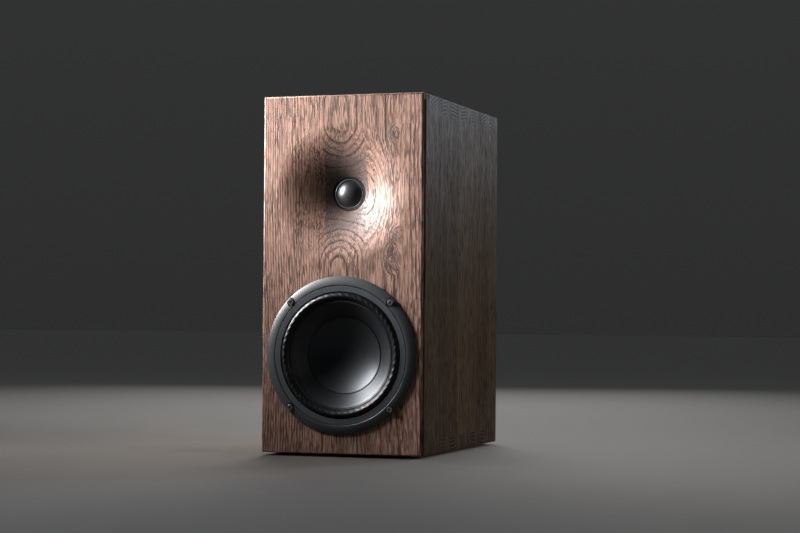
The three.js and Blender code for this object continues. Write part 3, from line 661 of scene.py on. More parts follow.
basket = on_woofer(basket_profile, 128)
cuts = []
for k in range(8):
    angle = (k + 0.5) / 8 * 2 * math.pi
    cuts.append(("DIFFERENCE", spun_box((44 * MM, 21 * MM, 34 * MM), (70 * MM, FACE + 23 * MM, 0), angle)))
    cuts.append(("DIFFERENCE", spun_box((44 * MM, 6 * MM, 16 * MM), (70 * MM, FACE + 44.5 * MM, 0), angle)))
for angle in screw_angles:
    spot = Vector((WOOFER.x + SCREW_CIRCLE * math.cos(angle), 0, WOOFER.z + SCREW_CIRCLE * math.sin(angle)))
    top = AHEAD - 5 * MM
    head_room = [(0, top), (HEAD_POCKET, top), (HEAD_POCKET, HEAD_SEAT), (0, HEAD_SEAT)]
    shaft_room = [(0, AHEAD), (SHAFT_HOLE, AHEAD), (SHAFT_HOLE, FACE), (0, FACE)]
    cuts.append(("DIFFERENCE", turned(head_room, spot, 32)))
    cuts.append(("DIFFERENCE", turned(shaft_room, spot, 24)))
cast = Finish("cast_black", (0.021, 0.026, 0.030), 0.46)
grit = cast.noise(1 / (0.45 * MM), 3, 0.65)
cast.set("Roughness", cast.between(grit, 0.3, 0.7, 0.36, 0.52))
cast.bump(grit, 0.06 * MM, 0.6)
finished("woofer_basket", carved(basket, cuts), cast.material, "cabinet")

# ---- Clamp ring and gasket ------------------------------------------------------------------
# A flat ring, smoother and greyer than the casting, presses the surround's edge on its seat. A
# foam gasket lies between the flange and the wood.
smooth_grey = Finish("clamp_ring_grey", (0.034, 0.041, 0.047), 0.38)
smooth_grey.set("Roughness", smooth_grey.between(smooth_grey.noise(160), 0.3, 0.7, 0.34, 0.42))
clamp_profile = from_face((67.2, -2.75), (67.2, -3.9), (73.35, -3.9), (73.35, -2.75))
clamp = on_woofer(eased(clamp_profile, 0.35 * MM), 128)
finished("woofer_clamp_ring", clamp, smooth_grey.material, "cabinet")
foam = Finish("gasket_foam", (0.012, 0.012, 0.013), 0.85)
foam.bump(foam.noise(1 / (0.5 * MM)), 0.1 * MM, 0.5)
gasket = on_woofer(eased(from_face((72, -0.1), (72, -0.8), (83, -0.8), (83, -0.1)), 0.2 * MM))
finished("woofer_gasket", gasket, foam.material, "cabinet")

# ---- Woofer cone and cap --------------------------------------------------------------------
# A spun aluminium cone with a rolled rim, and a concave cap glued over its middle. Both are
# anodised dark and satin, with faint marks of the spinning.
anodised = Finish("dark_anodised", (0.036, 0.040, 0.044), 0.42, Metallic=0.85)
spin = anodised.noise(420, 2, 0.5)
anodised.set("Roughness", anodised.between(spin, 0.3, 0.7, 0.40, 0.46))
cone_front = [
    (57.7, -1.0), (57.75, -1.7), (57.4, -2.2), (56.8, -2.35), (56.2, -2.0), (55.8, -1.3), (54.5, -0.55),
]
for k in range(1, 15):
    t = k / 14
    r = (1 - t) ** 2 * 54.5 + 2 * t * (1 - t) * 38.0 + t ** 2 * 20.0
    y = (1 - t) ** 2 * -0.55 + 2 * t * (1 - t) * 13.4 + t ** 2 * 27.5
    cone_front.append((r, y))
cone_back = [(r, y + 0.8) for r, y in reversed(cone_front)]
cone = on_woofer(from_face(*cone_front, *cone_back), 128)
finished("woofer_cone", cone, anodised.material, "woofer_cone_assembly")
CAP_RIM = 40.3
CAP_DEPTH = 10.9
CAP_SAG = 10.7
ball = (CAP_RIM ** 2 + CAP_SAG ** 2) / (2 * CAP_SAG)
cap_front = []
for k in range(19):
    r = CAP_RIM * k / 18
    cap_front.append((r, CAP_DEPTH - 0.9 + math.sqrt(ball ** 2 - r ** 2) - (ball - CAP_SAG)))
cap_back = [(r, y + 0.5) for r, y in reversed(cap_front)]
cap = on_woofer(from_face(*cap_front, *cap_back), 128)
finished("woofer_cap", cap, anodised.material, "woofer_cone_assembly")

# ---- Woofer surround ------------------------------------------------------------------------
# A moulded rubber half roll, glued under the clamp ring and on the cone's rim. Slanting ribs
# run round it like a rope's strands, and it rolls between basket and cone as the cone moves.
RIBS = 54
RIB_STEPS = 8
ROLL_STEPS = 18
RUBBER = 0.55


def surround_point(t, angle):
    """A point of the surround's front, in millimetres: t runs from under the ring to the cone's rim."""
    if t < 0:
        return 66.8 - t * 6.3, -2.62
    if t > 1:
        return 58.0 - (t - 1) * 2.4, -2.05
    r = 66.8 + (58.0 - 66.8) * t
    crest = math.sin(math.pi * t)
    rib = 0.5 + 0.5 * math.cos(RIBS * angle + 9.0 * (t - 0.5))
    return r, -2.62 + 0.57 * t - 2.8 * crest - 0.34 * crest * rib ** 1.6


def blended_ring(name, count, sector, material, centre):
    """Copies of one sector side by side in a ring, joined into one piece and put on the cabinet."""
    parts = []
    for k in range(count):
        angle = 2 * math.pi * k / count
        mesh = sector.copy()
        mesh.transform(Matrix.Translation((centre.x, 0, centre.z)) @ Matrix.Rotation(-angle, 4, "Y"))
        part = link(f"{name}_{k}", mesh)
        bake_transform(part)
        parts.append(part)
    with bpy.context.temp_override(active_object=parts[0], selected_editable_objects=parts):
        bpy.ops.object.join()
    ring = parts[0]
    ring.name = name
    work = bmesh.new()
    work.from_mesh(ring.data)
    bmesh.ops.remove_doubles(work, verts=work.verts, dist=1e-6)
    work.to_mesh(ring.data)
    work.free()
    crisp(ring.data, 50)
    ring.data.name = name
    ring.data.materials.clear()
    ring.data.materials.append(material)
    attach(ring, "cabinet")
    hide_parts(name)
    return ring


def sector_of(point_at, spans, wall, count, steps):
    """One sector of a ring, closed at both faces but open at its sides, for joining to its neighbours."""
    work = bmesh.new()
    columns = []
    for i in range(steps + 1):
        angle = 2 * math.pi / count * i / steps
        line = []
        for back in (False, True):
            row = [point_at(t, angle) for t in spans]
            if back:
                row = [(r, y + wall) for r, y in reversed(row)]
            for r, y in row:
                place = (r * MM * math.cos(angle), FACE + y * MM, r * MM * math.sin(angle))
                line.append(work.verts.new(place))
        columns.append(line)
    for one, two in zip(columns, columns[1:]):
        for k in range(len(one)):
            work.faces.new([one[k - 1], one[k], two[k], two[k - 1]])
    mesh = bpy.data.meshes.new("sector")
    work.to_mesh(mesh)
    work.free()
    return mesh


spans = [-1.0, -0.05, *[k / ROLL_STEPS for k in range(ROLL_STEPS + 1)], 1.05, 2.0]
rubber = Finish("surround_rubber", (0.004, 0.0045, 0.005), 0.34, Specular_IOR_Level=0.22)
rubber.set("Roughness", rubber.between(rubber.noise(300), 0.3, 0.7, 0.30, 0.46))
rubber.bump(rubber.noise(330, 1), 0.35 * MM, 0.5)
sector = sector_of(surround_point, spans, RUBBER, RIBS, RIB_STEPS)
blended_ring(
    "woofer_surround", RIBS, sector, rubber.material,
    WOOFER,
)

# ---- Woofer screws --------------------------------------------------------------------------
# Black socket-head screws, four on the flange's circle, each in its own pocket. The same black
# screws, with flatter heads, hold the back panel to its cleats and the terminal plate.
HEAD = 3.2 * MM
SOCKET = 1.4 * MM


def screw_mesh(head_front, head_back, shaft_end, head=HEAD, shaft=2 * MM):
    """A socket-head screw about the Y axis at the origin, its head towards the front."""
    lip = 0.35 * MM
    body = turned(
        [
            (0, head_front), (head - lip, head_front), (head - 0.1 * lip, head_front + lip),
            (head, head_front + 2 * lip),
            (head, head_back), (shaft, head_back), (shaft, shaft_end - 2 * MM), (0, shaft_end),
        ],
        Vector((0, 0, 0)), 24,
    )
    back = head_front + 0.75 * (head_back - head_front)
    ahead = head_front - 1 * MM
    socket = turned([(0, ahead), (SOCKET, ahead), (SOCKET, back), (0, back)], Vector((0, 0, 0)), 6)
    return crisp(carved(body, [("DIFFERENCE", socket)]))


def fastener_tree():
    """Puts a copy of the fastener on each point, turned about its own axis by chance, and makes them
    real."""
    tree = bpy.data.node_groups.new("fasteners_on_points", "GeometryNodeTree")
    face = tree.interface
    face.new_socket("Geometry", in_out="INPUT", socket_type="NodeSocketGeometry")
    face.new_socket("Fastener", in_out="INPUT", socket_type="NodeSocketObject")
    face.new_socket("Most turn", in_out="INPUT", socket_type="NodeSocketFloat")
    face.new_socket("Seed", in_out="INPUT", socket_type="NodeSocketInt")
    face.new_socket("Finish", in_out="INPUT", socket_type="NodeSocketMaterial")
    face.new_socket("Geometry", in_out="OUTPUT", socket_type="NodeSocketGeometry")
    add = tree.nodes.new
    start, end = add("NodeGroupInput"), add("NodeGroupOutput")
    points, shape = add("GeometryNodeMeshToPoints"), add("GeometryNodeObjectInfo")
    chance = add("FunctionNodeRandomValue")
    turn, place = add("ShaderNodeCombineXYZ"), add("GeometryNodeInstanceOnPoints")
    real, paint = add("GeometryNodeRealizeInstances"), add("GeometryNodeSetMaterial")
    wire = tree.links.new
    wire(start.outputs["Geometry"], points.inputs["Mesh"])
    wire(start.outputs["Fastener"], shape.inputs["Object"])
    wire(start.outputs["Most turn"], chance.inputs[3])
    wire(start.outputs["Seed"], chance.inputs["Seed"])
    wire(chance.outputs[1], turn.inputs["Y"])
    wire(points.outputs["Points"], place.inputs["Points"])
    wire(shape.outputs["Geometry"], place.inputs["Instance"])
    wire(turn.outputs[0], place.inputs["Rotation"])
    wire(place.outputs["Instances"], real.inputs["Geometry"])
    wire(real.outputs["Geometry"], paint.inputs["Geometry"])
    wire(start.outputs["Finish"], paint.inputs["Material"])
    wire(paint.outputs["Geometry"], end.inputs["Geometry"])
    return tree


FASTENERS = fastener_tree()


def plain(holder):
    """The evaluated mesh of an object with a live modifier. The object goes."""
    bpy.context.view_layer.update()
    mesh = bpy.data.meshes.new_from_object(holder.evaluated_get(bpy.context.evaluated_depsgraph_get()))
    bpy.data.objects.remove(holder)
    return mesh


def set_inputs(modifier, **values):
    """A tree's inputs by name, through their identifiers."""
    for item in modifier.node_group.interface.items_tree:
        key = item.name.replace(" ", "_").lower()
        if item.in_out == "INPUT" and key in values:
            modifier[item.identifier] = values[key]


def fastened(mesh, places, material, seed):
    """One mesh with a copy of the fastener at each place."""
    template = link("template", mesh)
    spots = bpy.data.meshes.new("spots")
    spots.from_pydata(places, [], [])
    holder = link("holder", spots)
    modifier = holder.modifiers.new("fasteners", "NODES")
    modifier.node_group = FASTENERS
    set_inputs(modifier, fastener=template, most_turn=math.pi, seed=seed, finish=material)
    made = plain(holder)
    bpy.data.objects.remove(template)
    return made


blackened = Finish("blackened_steel", (0.15, 0.16, 0.17), 0.38, Metallic=0.9)
blackened.set("Roughness", blackened.between(blackened.noise(900, 2), 0.3, 0.7, 0.28, 0.44))
screw_places = [
    (WOOFER.x + SCREW_CIRCLE * math.cos(a), FACE, WOOFER.z + SCREW_CIRCLE * math.sin(a))
    for a in screw_angles
]
screws = fastened(screw_mesh(-4.6 * MM, -2.0 * MM, 14 * MM), screw_places, blackened.material, 3)
finished(
    "woofer_screws", screws, blackened.material, "cabinet", tuple(f"woofer_screw_{k}" for k in (1, 2, 3, 4))
)

# ---- Woofer spider and coil -----------------------------------------------------------------
# The spider is resin-dipped cloth pressed in concentric waves, glued to the basket and the coil
# former. The coil is round wire wound on the former in one tight layer.
SPIDER_WAVES = 5
spider_low, spider_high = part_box("woofer_spider")
SPIDER_OUTER = (spider_high.x - spider_low.x) / 2 / MM
FORMER = (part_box("woofer_coil_former")[1].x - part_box("woofer_coil_former")[0].x) / 2 / MM
SPIDER_FRONT = (spider_low.y - FACE) / MM
SPIDER_WAVE = 0.8


def spider_point(t, angle):
    """A point of the spider's front, in millimetres: t runs from the basket's step to the former."""
    flat = min(1.0, 8 * t, 8 * (1 - t))
    wave = flat * math.sin(2 * math.pi * SPIDER_WAVES * t)
    return SPIDER_OUTER + (FORMER + 0.3 - SPIDER_OUTER) * t, SPIDER_FRONT + SPIDER_WAVE * (1 + wave)


cloth = Finish("resin_cloth", (0.42, 0.27, 0.10), 0.8)
weave = cloth.node("TexVoronoi", {"Vector": cloth.position(), "Scale": 1 / (0.9 * MM)}).outputs["Distance"]
cloth.set("Base Color", cloth.mix(weave, (0.30, 0.19, 0.07), (0.50, 0.33, 0.13)))
cloth.bump(weave, 0.15 * MM, 0.6)
SPIDER_SECTORS = 16
spider_sector = sector_of(spider_point, [k / 60 for k in range(61)], 0.45, SPIDER_SECTORS, 6)
blended_ring(
    "woofer_spider", SPIDER_SECTORS, spider_sector, cloth.material,
    WOOFER,
)


def ring_for(node, inner, rounding=0.4 * MM, steps=96):
    """A turned ring that fills a node's box, with a hole of the inner radius and eased corners."""
    low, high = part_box(node)
    outer = (high.x - low.x) / 2
    profile = [(inner, low.y), (outer, low.y), (outer, high.y), (inner, high.y)]
    return turned(eased(profile, rounding), middle_of(node), steps)


def wound(node, inner, wire, upright=False, steps=64):
    """A coil of round wire that fills a node's box: its section is a rectangle with a bead for each turn."""
    low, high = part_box(node)
    outer = (high.x - low.x) / 2
    start, end = (low.z, high.z) if upright else (low.y, high.y)
    turns, layers = max(1, round((end - start) / wire)), max(1, round((outer - inner) / wire))
    bead = (end - start) / turns
    wide = (outer - inner) / layers
    points = []
    sides = [
        (turns, lambda s: (outer - bead / 2, start + s * bead), lambda a: (math.sin(a), -math.cos(a))),
        (layers, lambda s: (outer - s * wide, end - wide / 2), lambda a: (math.cos(a), math.sin(a))),
        (turns, lambda s: (inner + bead / 2, end - s * bead), lambda a: (-math.sin(a), math.cos(a))),
        (layers, lambda s: (inner + s * wide, start + wide / 2), lambda a: (-math.cos(a), -math.sin(a))),
    ]
    for side, (count, centre, swing) in enumerate(sides):
        size = bead if side % 2 == 0 else wide
        for k in range(count):
            middle = centre(k + 0.5)
            for i in range(1, 4):
                across, along = swing(math.pi * i / 4)
                points.append((middle[0] + size / 2 * across, middle[1] + size / 2 * along))
    return turned(points, middle_of(node), steps, upright)


copper = Finish("enamelled_copper", (0.60, 0.24, 0.11), 0.28, Metallic=0.9)
copper.set("Roughness", copper.between(copper.noise(500), 0.3, 0.7, 0.24, 0.36))
former_foil = Finish("former_foil", (0.32, 0.29, 0.25), 0.35, Metallic=0.8)
former_foil.bump(former_foil.noise(700), 0.05 * MM, 0.3)
former = ring_for("woofer_coil_former", 19.1 * MM, 0.1 * MM)
finished("woofer_coil_former", former, former_foil.material, "woofer_cone_assembly")
woofer_coil = wound("woofer_voice_coil", 19.8 * MM, 0.5 * MM)
finished("woofer_voice_coil", woofer_coil, copper.material, "woofer_cone_assembly")

# ---- Woofer motor ---------------------------------------------------------------------------
# A ring magnet of ferrite between two zinc-plated steel plates. The back plate and the vented
# pole are one forging.
zinc = Finish("zinc_plate", (0.50, 0.51, 0.50), 0.32, Metallic=1.0)
haze = zinc.noise(90, 3, 0.6)
zinc.set("Base Color", zinc.mix(zinc.between(haze, 0.35, 0.65), (0.42, 0.42, 0.40), (0.58, 0.59, 0.60)))
zinc.set("Roughness", zinc.between(haze, 0.3, 0.7, 0.24, 0.42))
sintered = Finish("ferrite", (0.030, 0.030, 0.033), 0.7)
sintered.bump(sintered.noise(1200, 3, 0.7), 0.08 * MM, 0.7)


def yoke(node, pole, vent, plate):
    """A back plate with its pole, from the node's box: the pole's and vent's radii, and the plate's
    thickness."""
    low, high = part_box(node)
    outer = (high.x - low.x) / 2
    step = high.y - plate
    profile = [(vent, low.y), (pole, low.y), (pole, step), (outer, step), (outer, high.y), (vent, high.y)]
    return turned(eased(profile, 0.8 * MM), middle_of(node), 96)


finished("woofer_front_plate", ring_for("woofer_front_plate", 21.6 * MM, 0.8 * MM), zinc.material, "cabinet")
finished("woofer_magnet", ring_for("woofer_magnet", 31 * MM, 1.2 * MM), sintered.material, "cabinet")
finished("woofer_yoke", yoke("woofer_yoke", 18.4 * MM, 6 * MM, 6 * MM), zinc.material, "cabinet")
tags = Finish("tag_board", (0.26, 0.15, 0.07), 0.6)
tags.bump(tags.noise(1500), 0.05 * MM, 0.4)
low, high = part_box("woofer_terminal_strip")
finished("woofer_terminal_strip", box_mesh(low, high, None, 0.3 * MM, 2), tags.material, "cabinet")

# ---- Tweeter --------------------------------------------------------------------------------
# An anodised metal dome in a narrow rubber roll, behind a moulded plate whose neck fits the
# horn's throat. A thin satin ring traps the roll's edge.
DOME = 13.1
DOME_RISE = 4.9
DOME_EDGE = 21.6
moulded = Finish("moulded_black", (0.008, 0.0085, 0.009), 0.6, Specular_IOR_Level=0.25)
moulded.set("Roughness", moulded.between(moulded.noise(600, 3), 0.3, 0.7, 0.55, 0.68))
moulded.bump(moulded.noise(1 / (0.35 * MM), 2), 0.03 * MM, 0.5)
plate_profile = from_face(
    (15.85, 22.1), (15.95, 21.8), (17.1, 21.4), (17.4, 20.75), (17.9, 20.65), (18.25, 20.95),
    (18.3, 26.3), (36.2, 26.3), (36.4, 26.5), (36.4, 30.1), (36.2, 30.3), (14.6, 30.3),
    (14.6, 23.2), (15.85, 23.0),
)
finished("tweeter_face_plate", turned(plate_profile, TWEETER, 128), moulded.material, "cabinet")
satin = Finish("satin_trim", (0.16, 0.185, 0.205), 0.40, Metallic=0.6)
satin.set("Roughness", satin.between(satin.noise(700), 0.3, 0.7, 0.36, 0.46))
trim_profile = from_face(
    (14.65, 22.6), (14.65, 21.7), (14.8, 21.3), (15.15, 21.05), (15.5, 21.2), (15.75, 21.6), (15.78, 22.6),
)
trim = turned(trim_profile, TWEETER, 128)
finished("tweeter_trim_ring", trim, satin.material, "cabinet", None)


def tweeter_roll(t, angle):
    """A point of the roll's front, in millimetres: t runs from under the trim ring to the dome's edge."""
    if t < 0:
        return 14.9 - 0.6 * t, 22.7
    if t > 1:
        return 13.3 - (t - 1), 21.9
    return 14.9 - 1.6 * t, 22.7 - 0.75 * t - 0.7 * math.sin(math.pi * t)


ROLL_SECTORS = 16
roll_rubber = Finish("tweeter_roll_rubber", (0.005, 0.005, 0.005), 0.5, Specular_IOR_Level=0.15)
roll_rubber.bump(roll_rubber.noise(2000), 0.03 * MM, 0.3)
roll_sector = sector_of(tweeter_roll, [-1.0, *[k / 10 for k in range(11)], 1.5], 0.25, ROLL_SECTORS, 6)
blended_ring(
    "tweeter_surround", ROLL_SECTORS, roll_sector, roll_rubber.material,
    TWEETER,
)
dome_ball = (DOME ** 2 + DOME_RISE ** 2) / (2 * DOME_RISE)
dome_front = []
for k in range(21):
    r = DOME * k / 20
    dome_front.append((r, DOME_EDGE - (math.sqrt(dome_ball ** 2 - r ** 2) - (dome_ball - DOME_RISE))))
dome_front += [(DOME + 0.15, DOME_EDGE - 0.05), (DOME + 0.5, DOME_EDGE + 0.15)]
dome_back = [(r, y + 0.3) for r, y in reversed(dome_front)]
dome_metal = Finish("dome_anodised", (0.085, 0.090, 0.094), 0.34, Metallic=0.85)
dome_metal.set("Roughness", dome_metal.between(dome_metal.noise(900, 2), 0.3, 0.7, 0.33, 0.38))
dome = turned(from_face(*dome_front, *dome_back), TWEETER, 96)
finished("tweeter_dome", dome, dome_metal.material, "tweeter_dome_assembly")
tweeter_coil = wound("tweeter_voice_coil", 13.2 * MM, 0.3 * MM)
finished("tweeter_voice_coil", tweeter_coil, copper.material, "tweeter_dome_assembly")
finished("tweeter_front_plate", ring_for("tweeter_front_plate", 14.4 * MM), zinc.material, "cabinet")
finished("tweeter_magnet", ring_for("tweeter_magnet", 19 * MM, 0.8 * MM), sintered.material, "cabinet")
finished("tweeter_yoke", yoke("tweeter_yoke", 12.7 * MM, 4 * MM, 4 * MM), zinc.material, "cabinet")
chamber_low, chamber_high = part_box("tweeter_rear_chamber")
CHAMBER = (chamber_high.x - chamber_low.x) / 2
WALL = 2.5 * MM
chamber_profile = eased(
    [
        (CHAMBER - WALL, chamber_low.y), (CHAMBER, chamber_low.y), (CHAMBER, chamber_high.y - 4 * MM),
        (CHAMBER - 4 * MM, chamber_high.y), (0, chamber_high.y), (0, chamber_high.y - WALL),
        (CHAMBER - 5 * MM, chamber_high.y - WALL), (CHAMBER - WALL, chamber_high.y - 5 * MM),
    ],
    0.8 * MM,
)
finished("tweeter_rear_chamber", turned(chamber_profile, TWEETER, 96), moulded.material, "cabinet")

# ---- Spacer and feet ------------------------------------------------------------------------
# A black frame behind the baffle makes the dark line round the cabinet's mouth: a black spacer,
# brought forward behind the thin lip so that it also paints the gap's shade. Four soft rubber pads
# are stuck under the bottom panel.
spacer_black_with_shade = Finish("spacer_black", (0.007, 0.007, 0.008), 0.8)
spacer_black_with_shade.bump(spacer_black_with_shade.noise(1500, 2), 0.05 * MM, 0.5)
low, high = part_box("baffle_spacer")
rim = PANEL - 5 * MM
outer_frame = box_mesh(low - Vector((0, 2.4 * MM, 0)), high)
past = Vector((0, 3 * MM, 0))
inside = box_mesh(low + Vector((rim, 0, rim)) - past, high - Vector((rim, 0, rim)) + past)
finished("baffle_spacer", carved(outer_frame, [("DIFFERENCE", inside)]), spacer_black_with_shade.material, "cabinet")
pad_rubber = Finish("foot_rubber", (0.020, 0.020, 0.021), 0.6)
pad_rubber.bump(pad_rubber.noise(1400, 2), 0.05 * MM, 0.5)
for k in (1, 2, 3, 4):
    low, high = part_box(f"foot_{k}")
    pad = (high.x - low.x) / 2
    profile = eased([(0, low.z), (pad - 0.8 * MM, low.z), (pad, high.z), (0, high.z)], 0.7 * MM)
    finished(f"foot_{k}", turned(profile, middle_of(f"foot_{k}"), 64, True), pad_rubber.material, "cabinet")

# ---- Back panel -----------------------------------------------------------------------------
# An oak panel let in between the cabinet's rear edges, screwed to a cleat down each side. Its
# holes take the port and the two binding posts.
back_low, back_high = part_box("back_panel")
back_width = back_high.x - back_low.x
back_staves = [
    (-back_width / 2, -0.25, 0.06, 0.44),
    (-0.031, 0.004, -0.045, 0.50),
    (0.029, 0.30, 0.07, 0.47),
]
back_oak = oak(
    "smoked_oak_back", Z, X, (back_low + back_high) / 2, back_width, back_staves, SIDE_PALE_PAINTED_SHADE, SIDE_DARK
)
PORT_Z = (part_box("reflex_port")[0].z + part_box("reflex_port")[1].z) / 2
TERMINAL_Z = (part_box("terminal_plate")[0].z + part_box("terminal_plate")[1].z) / 2
POSTS = {"red": middle_of("post_stud_red").x, "black": middle_of("post_stud_black").x}


def hole(radius, x, z, start, end, steps=48):
    return turned([(0, start), (radius, start), (radius, end), (0, end)], Vector((x, 0, z)), steps)


through = (back_low.y - 1 * MM, back_high.y + 1 * MM)
SCREW_ROWS = 5
cleat_x = middle_of("rear_cleat_right").x
SCREW_INSET = 14 * MM
screw_span = back_high.z - back_low.z - 2 * SCREW_INSET
rows = [back_low.z + SCREW_INSET + k / (SCREW_ROWS - 1) * screw_span for k in range(SCREW_ROWS)]
back_screws = [(side * cleat_x, back_high.y, z) for side in (-1, 1) for z in rows]
SUNK = 2.2 * MM
back_cuts = [("DIFFERENCE", hole(38.4 * MM, 0, PORT_Z, *through, 96))]
back_cuts += [("DIFFERENCE", hole(9 * MM, x, TERMINAL_Z, *through)) for x in POSTS.values()]
back_cuts += [("DIFFERENCE", hole(4.2 * MM, x, z, y - SUNK, y + SUNK, 32)) for x, y, z in back_screws]


def rear_edges(edge):
    return all(v.co.y > back_high.y - 1 * MM for v in edge.verts)


back = box_mesh(back_low, back_high, rear_edges, 1 * MM, 3)
finished("back_panel", carved(back, back_cuts), back_oak, "cabinet")


def facing_back(mesh):
    """The screw turned round, so that its head looks backwards."""
    mesh.transform(Matrix.Rotation(math.pi, 4, "Z"))
    return mesh


sunk_screw = facing_back(screw_mesh(0.25 * MM, SUNK - 0.05 * MM, SUNK, 3.9 * MM))
heads = fastened(sunk_screw, back_screws, blackened.material, 11)
finished("back_panel_screws", heads, blackened.material, "cabinet", None)

# ---- Reflex port ----------------------------------------------------------------------------
# A moulded tube that flares at both ends, pushed into the back panel up to its flange.
port_low, port_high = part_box("reflex_port")
BORE = 25 * MM
PORT_WALL = 2.5 * MM
REAR_FLARE = 11 * MM
INNER_FLARE = 7 * MM
flange = (port_high.x - port_low.x) / 2
collar = BORE + REAR_FLARE + 2 * MM
seat = back_high.y + 0.2 * MM
port_profile = []
for k in range(13):
    a = math.pi / 2 * k / 12
    flare_y = port_low.y + INNER_FLARE * (1 - math.cos(a))
    port_profile.append((BORE + INNER_FLARE * (1 - math.sin(a)), flare_y))
for k in range(17):
    a = math.pi / 2 * k / 16
    flare_y = port_high.y - REAR_FLARE * (1 - math.sin(a))
    port_profile.append((BORE + REAR_FLARE * (1 - math.cos(a)), flare_y))
port_profile += [
    (flange - 0.8 * MM, port_high.y), (flange - 0.2 * MM, port_high.y - 0.3 * MM),
    (flange, port_high.y - 0.9 * MM),
    (flange, seat), (collar, seat), (collar, seat - 12.2 * MM), (BORE + PORT_WALL, seat - 12.2 * MM),
    (BORE + PORT_WALL, port_low.y + 12 * MM), (BORE + INNER_FLARE + 2 * MM, port_low.y + 0.6 * MM),
    (BORE + INNER_FLARE + 1 * MM, port_low.y),
]
finished("reflex_port", turned(port_profile, Vector((0, 0, PORT_Z)), 128), moulded.material, "cabinet")

# ---- Terminal plate and binding posts -------------------------------------------------------
# A brushed, black-anodised plate carries two gold-plated posts. Each fluted cap screws down its
# stud and presses a washer on the wire. A nut inside holds the stud.
plate_low, plate_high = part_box("terminal_plate")
CORNER = 6 * MM


def plate_edges(edge):
    return abs(edge.verts[0].co.y - edge.verts[1].co.y) > 1 * MM


def plate_rim(edge):
    outer = all(v.co.y > plate_high.y - 0.1 * MM for v in edge.verts)
    return outer and edge.calc_face_angle(0) > 1.2


plate = box_mesh(plate_low, plate_high, plate_edges, CORNER, 8)
work = bmesh.new()
work.from_mesh(plate)
rim_edges = [e for e in work.edges if plate_rim(e)]
bmesh.ops.bevel(work, geom=rim_edges, offset=0.5 * MM, segments=2, profile=0.5, affect="EDGES")
work.to_mesh(plate)
work.free()
plate_through = (plate_low.y - 1 * MM, plate_high.y + 1 * MM)
plate_screws = [
    (x, plate_high.y, z)
    for x in (plate_low.x + CORNER, plate_high.x - CORNER)
    for z in (plate_low.z + CORNER, plate_high.z - CORNER)
]
plate_cuts = [("DIFFERENCE", hole(4.0 * MM, x, TERMINAL_Z, *plate_through)) for x in POSTS.values()]
for x, y, z in plate_screws:
    plate_cuts.append(("DIFFERENCE", hole(3.4 * MM, x, z, y - 1.6 * MM, y + 1 * MM, 32)))
brushed = Finish("brushed_black", (0.045, 0.047, 0.050), 0.36, Metallic=0.8)
strokes = brushed.noise(1.0, 2, 0.6, brushed.position((12, 4000, 4000)))
brushed.set("Roughness", brushed.between(strokes, 0.3, 0.7, 0.26, 0.48))
brushed.set("Base Color", brushed.mix(strokes, (0.035, 0.037, 0.040), (0.060, 0.062, 0.066)))
brushed.bump(strokes, 0.02 * MM, 0.5)
finished("terminal_plate", carved(plate, plate_cuts), brushed.material, "cabinet")
plate_screw = facing_back(screw_mesh(0.2 * MM, 1.5 * MM, 1.6 * MM, 3.1 * MM))
finished(
    "terminal_plate_screws", fastened(plate_screw, plate_screws, blackened.material, 17), blackened.material,
    "cabinet", None,
)
gold = Finish("gold_plate", (0.86, 0.58, 0.24), 0.22, Metallic=1.0)
gold.set("Roughness", gold.between(gold.noise(800), 0.3, 0.7, 0.18, 0.28))
CAP_RADIUS = 8.2 * MM
FLUTES = 8
FLUTE_DEPTH = 0.55 * MM
STUD = 3.6 * MM
COLLAR = 8 * MM
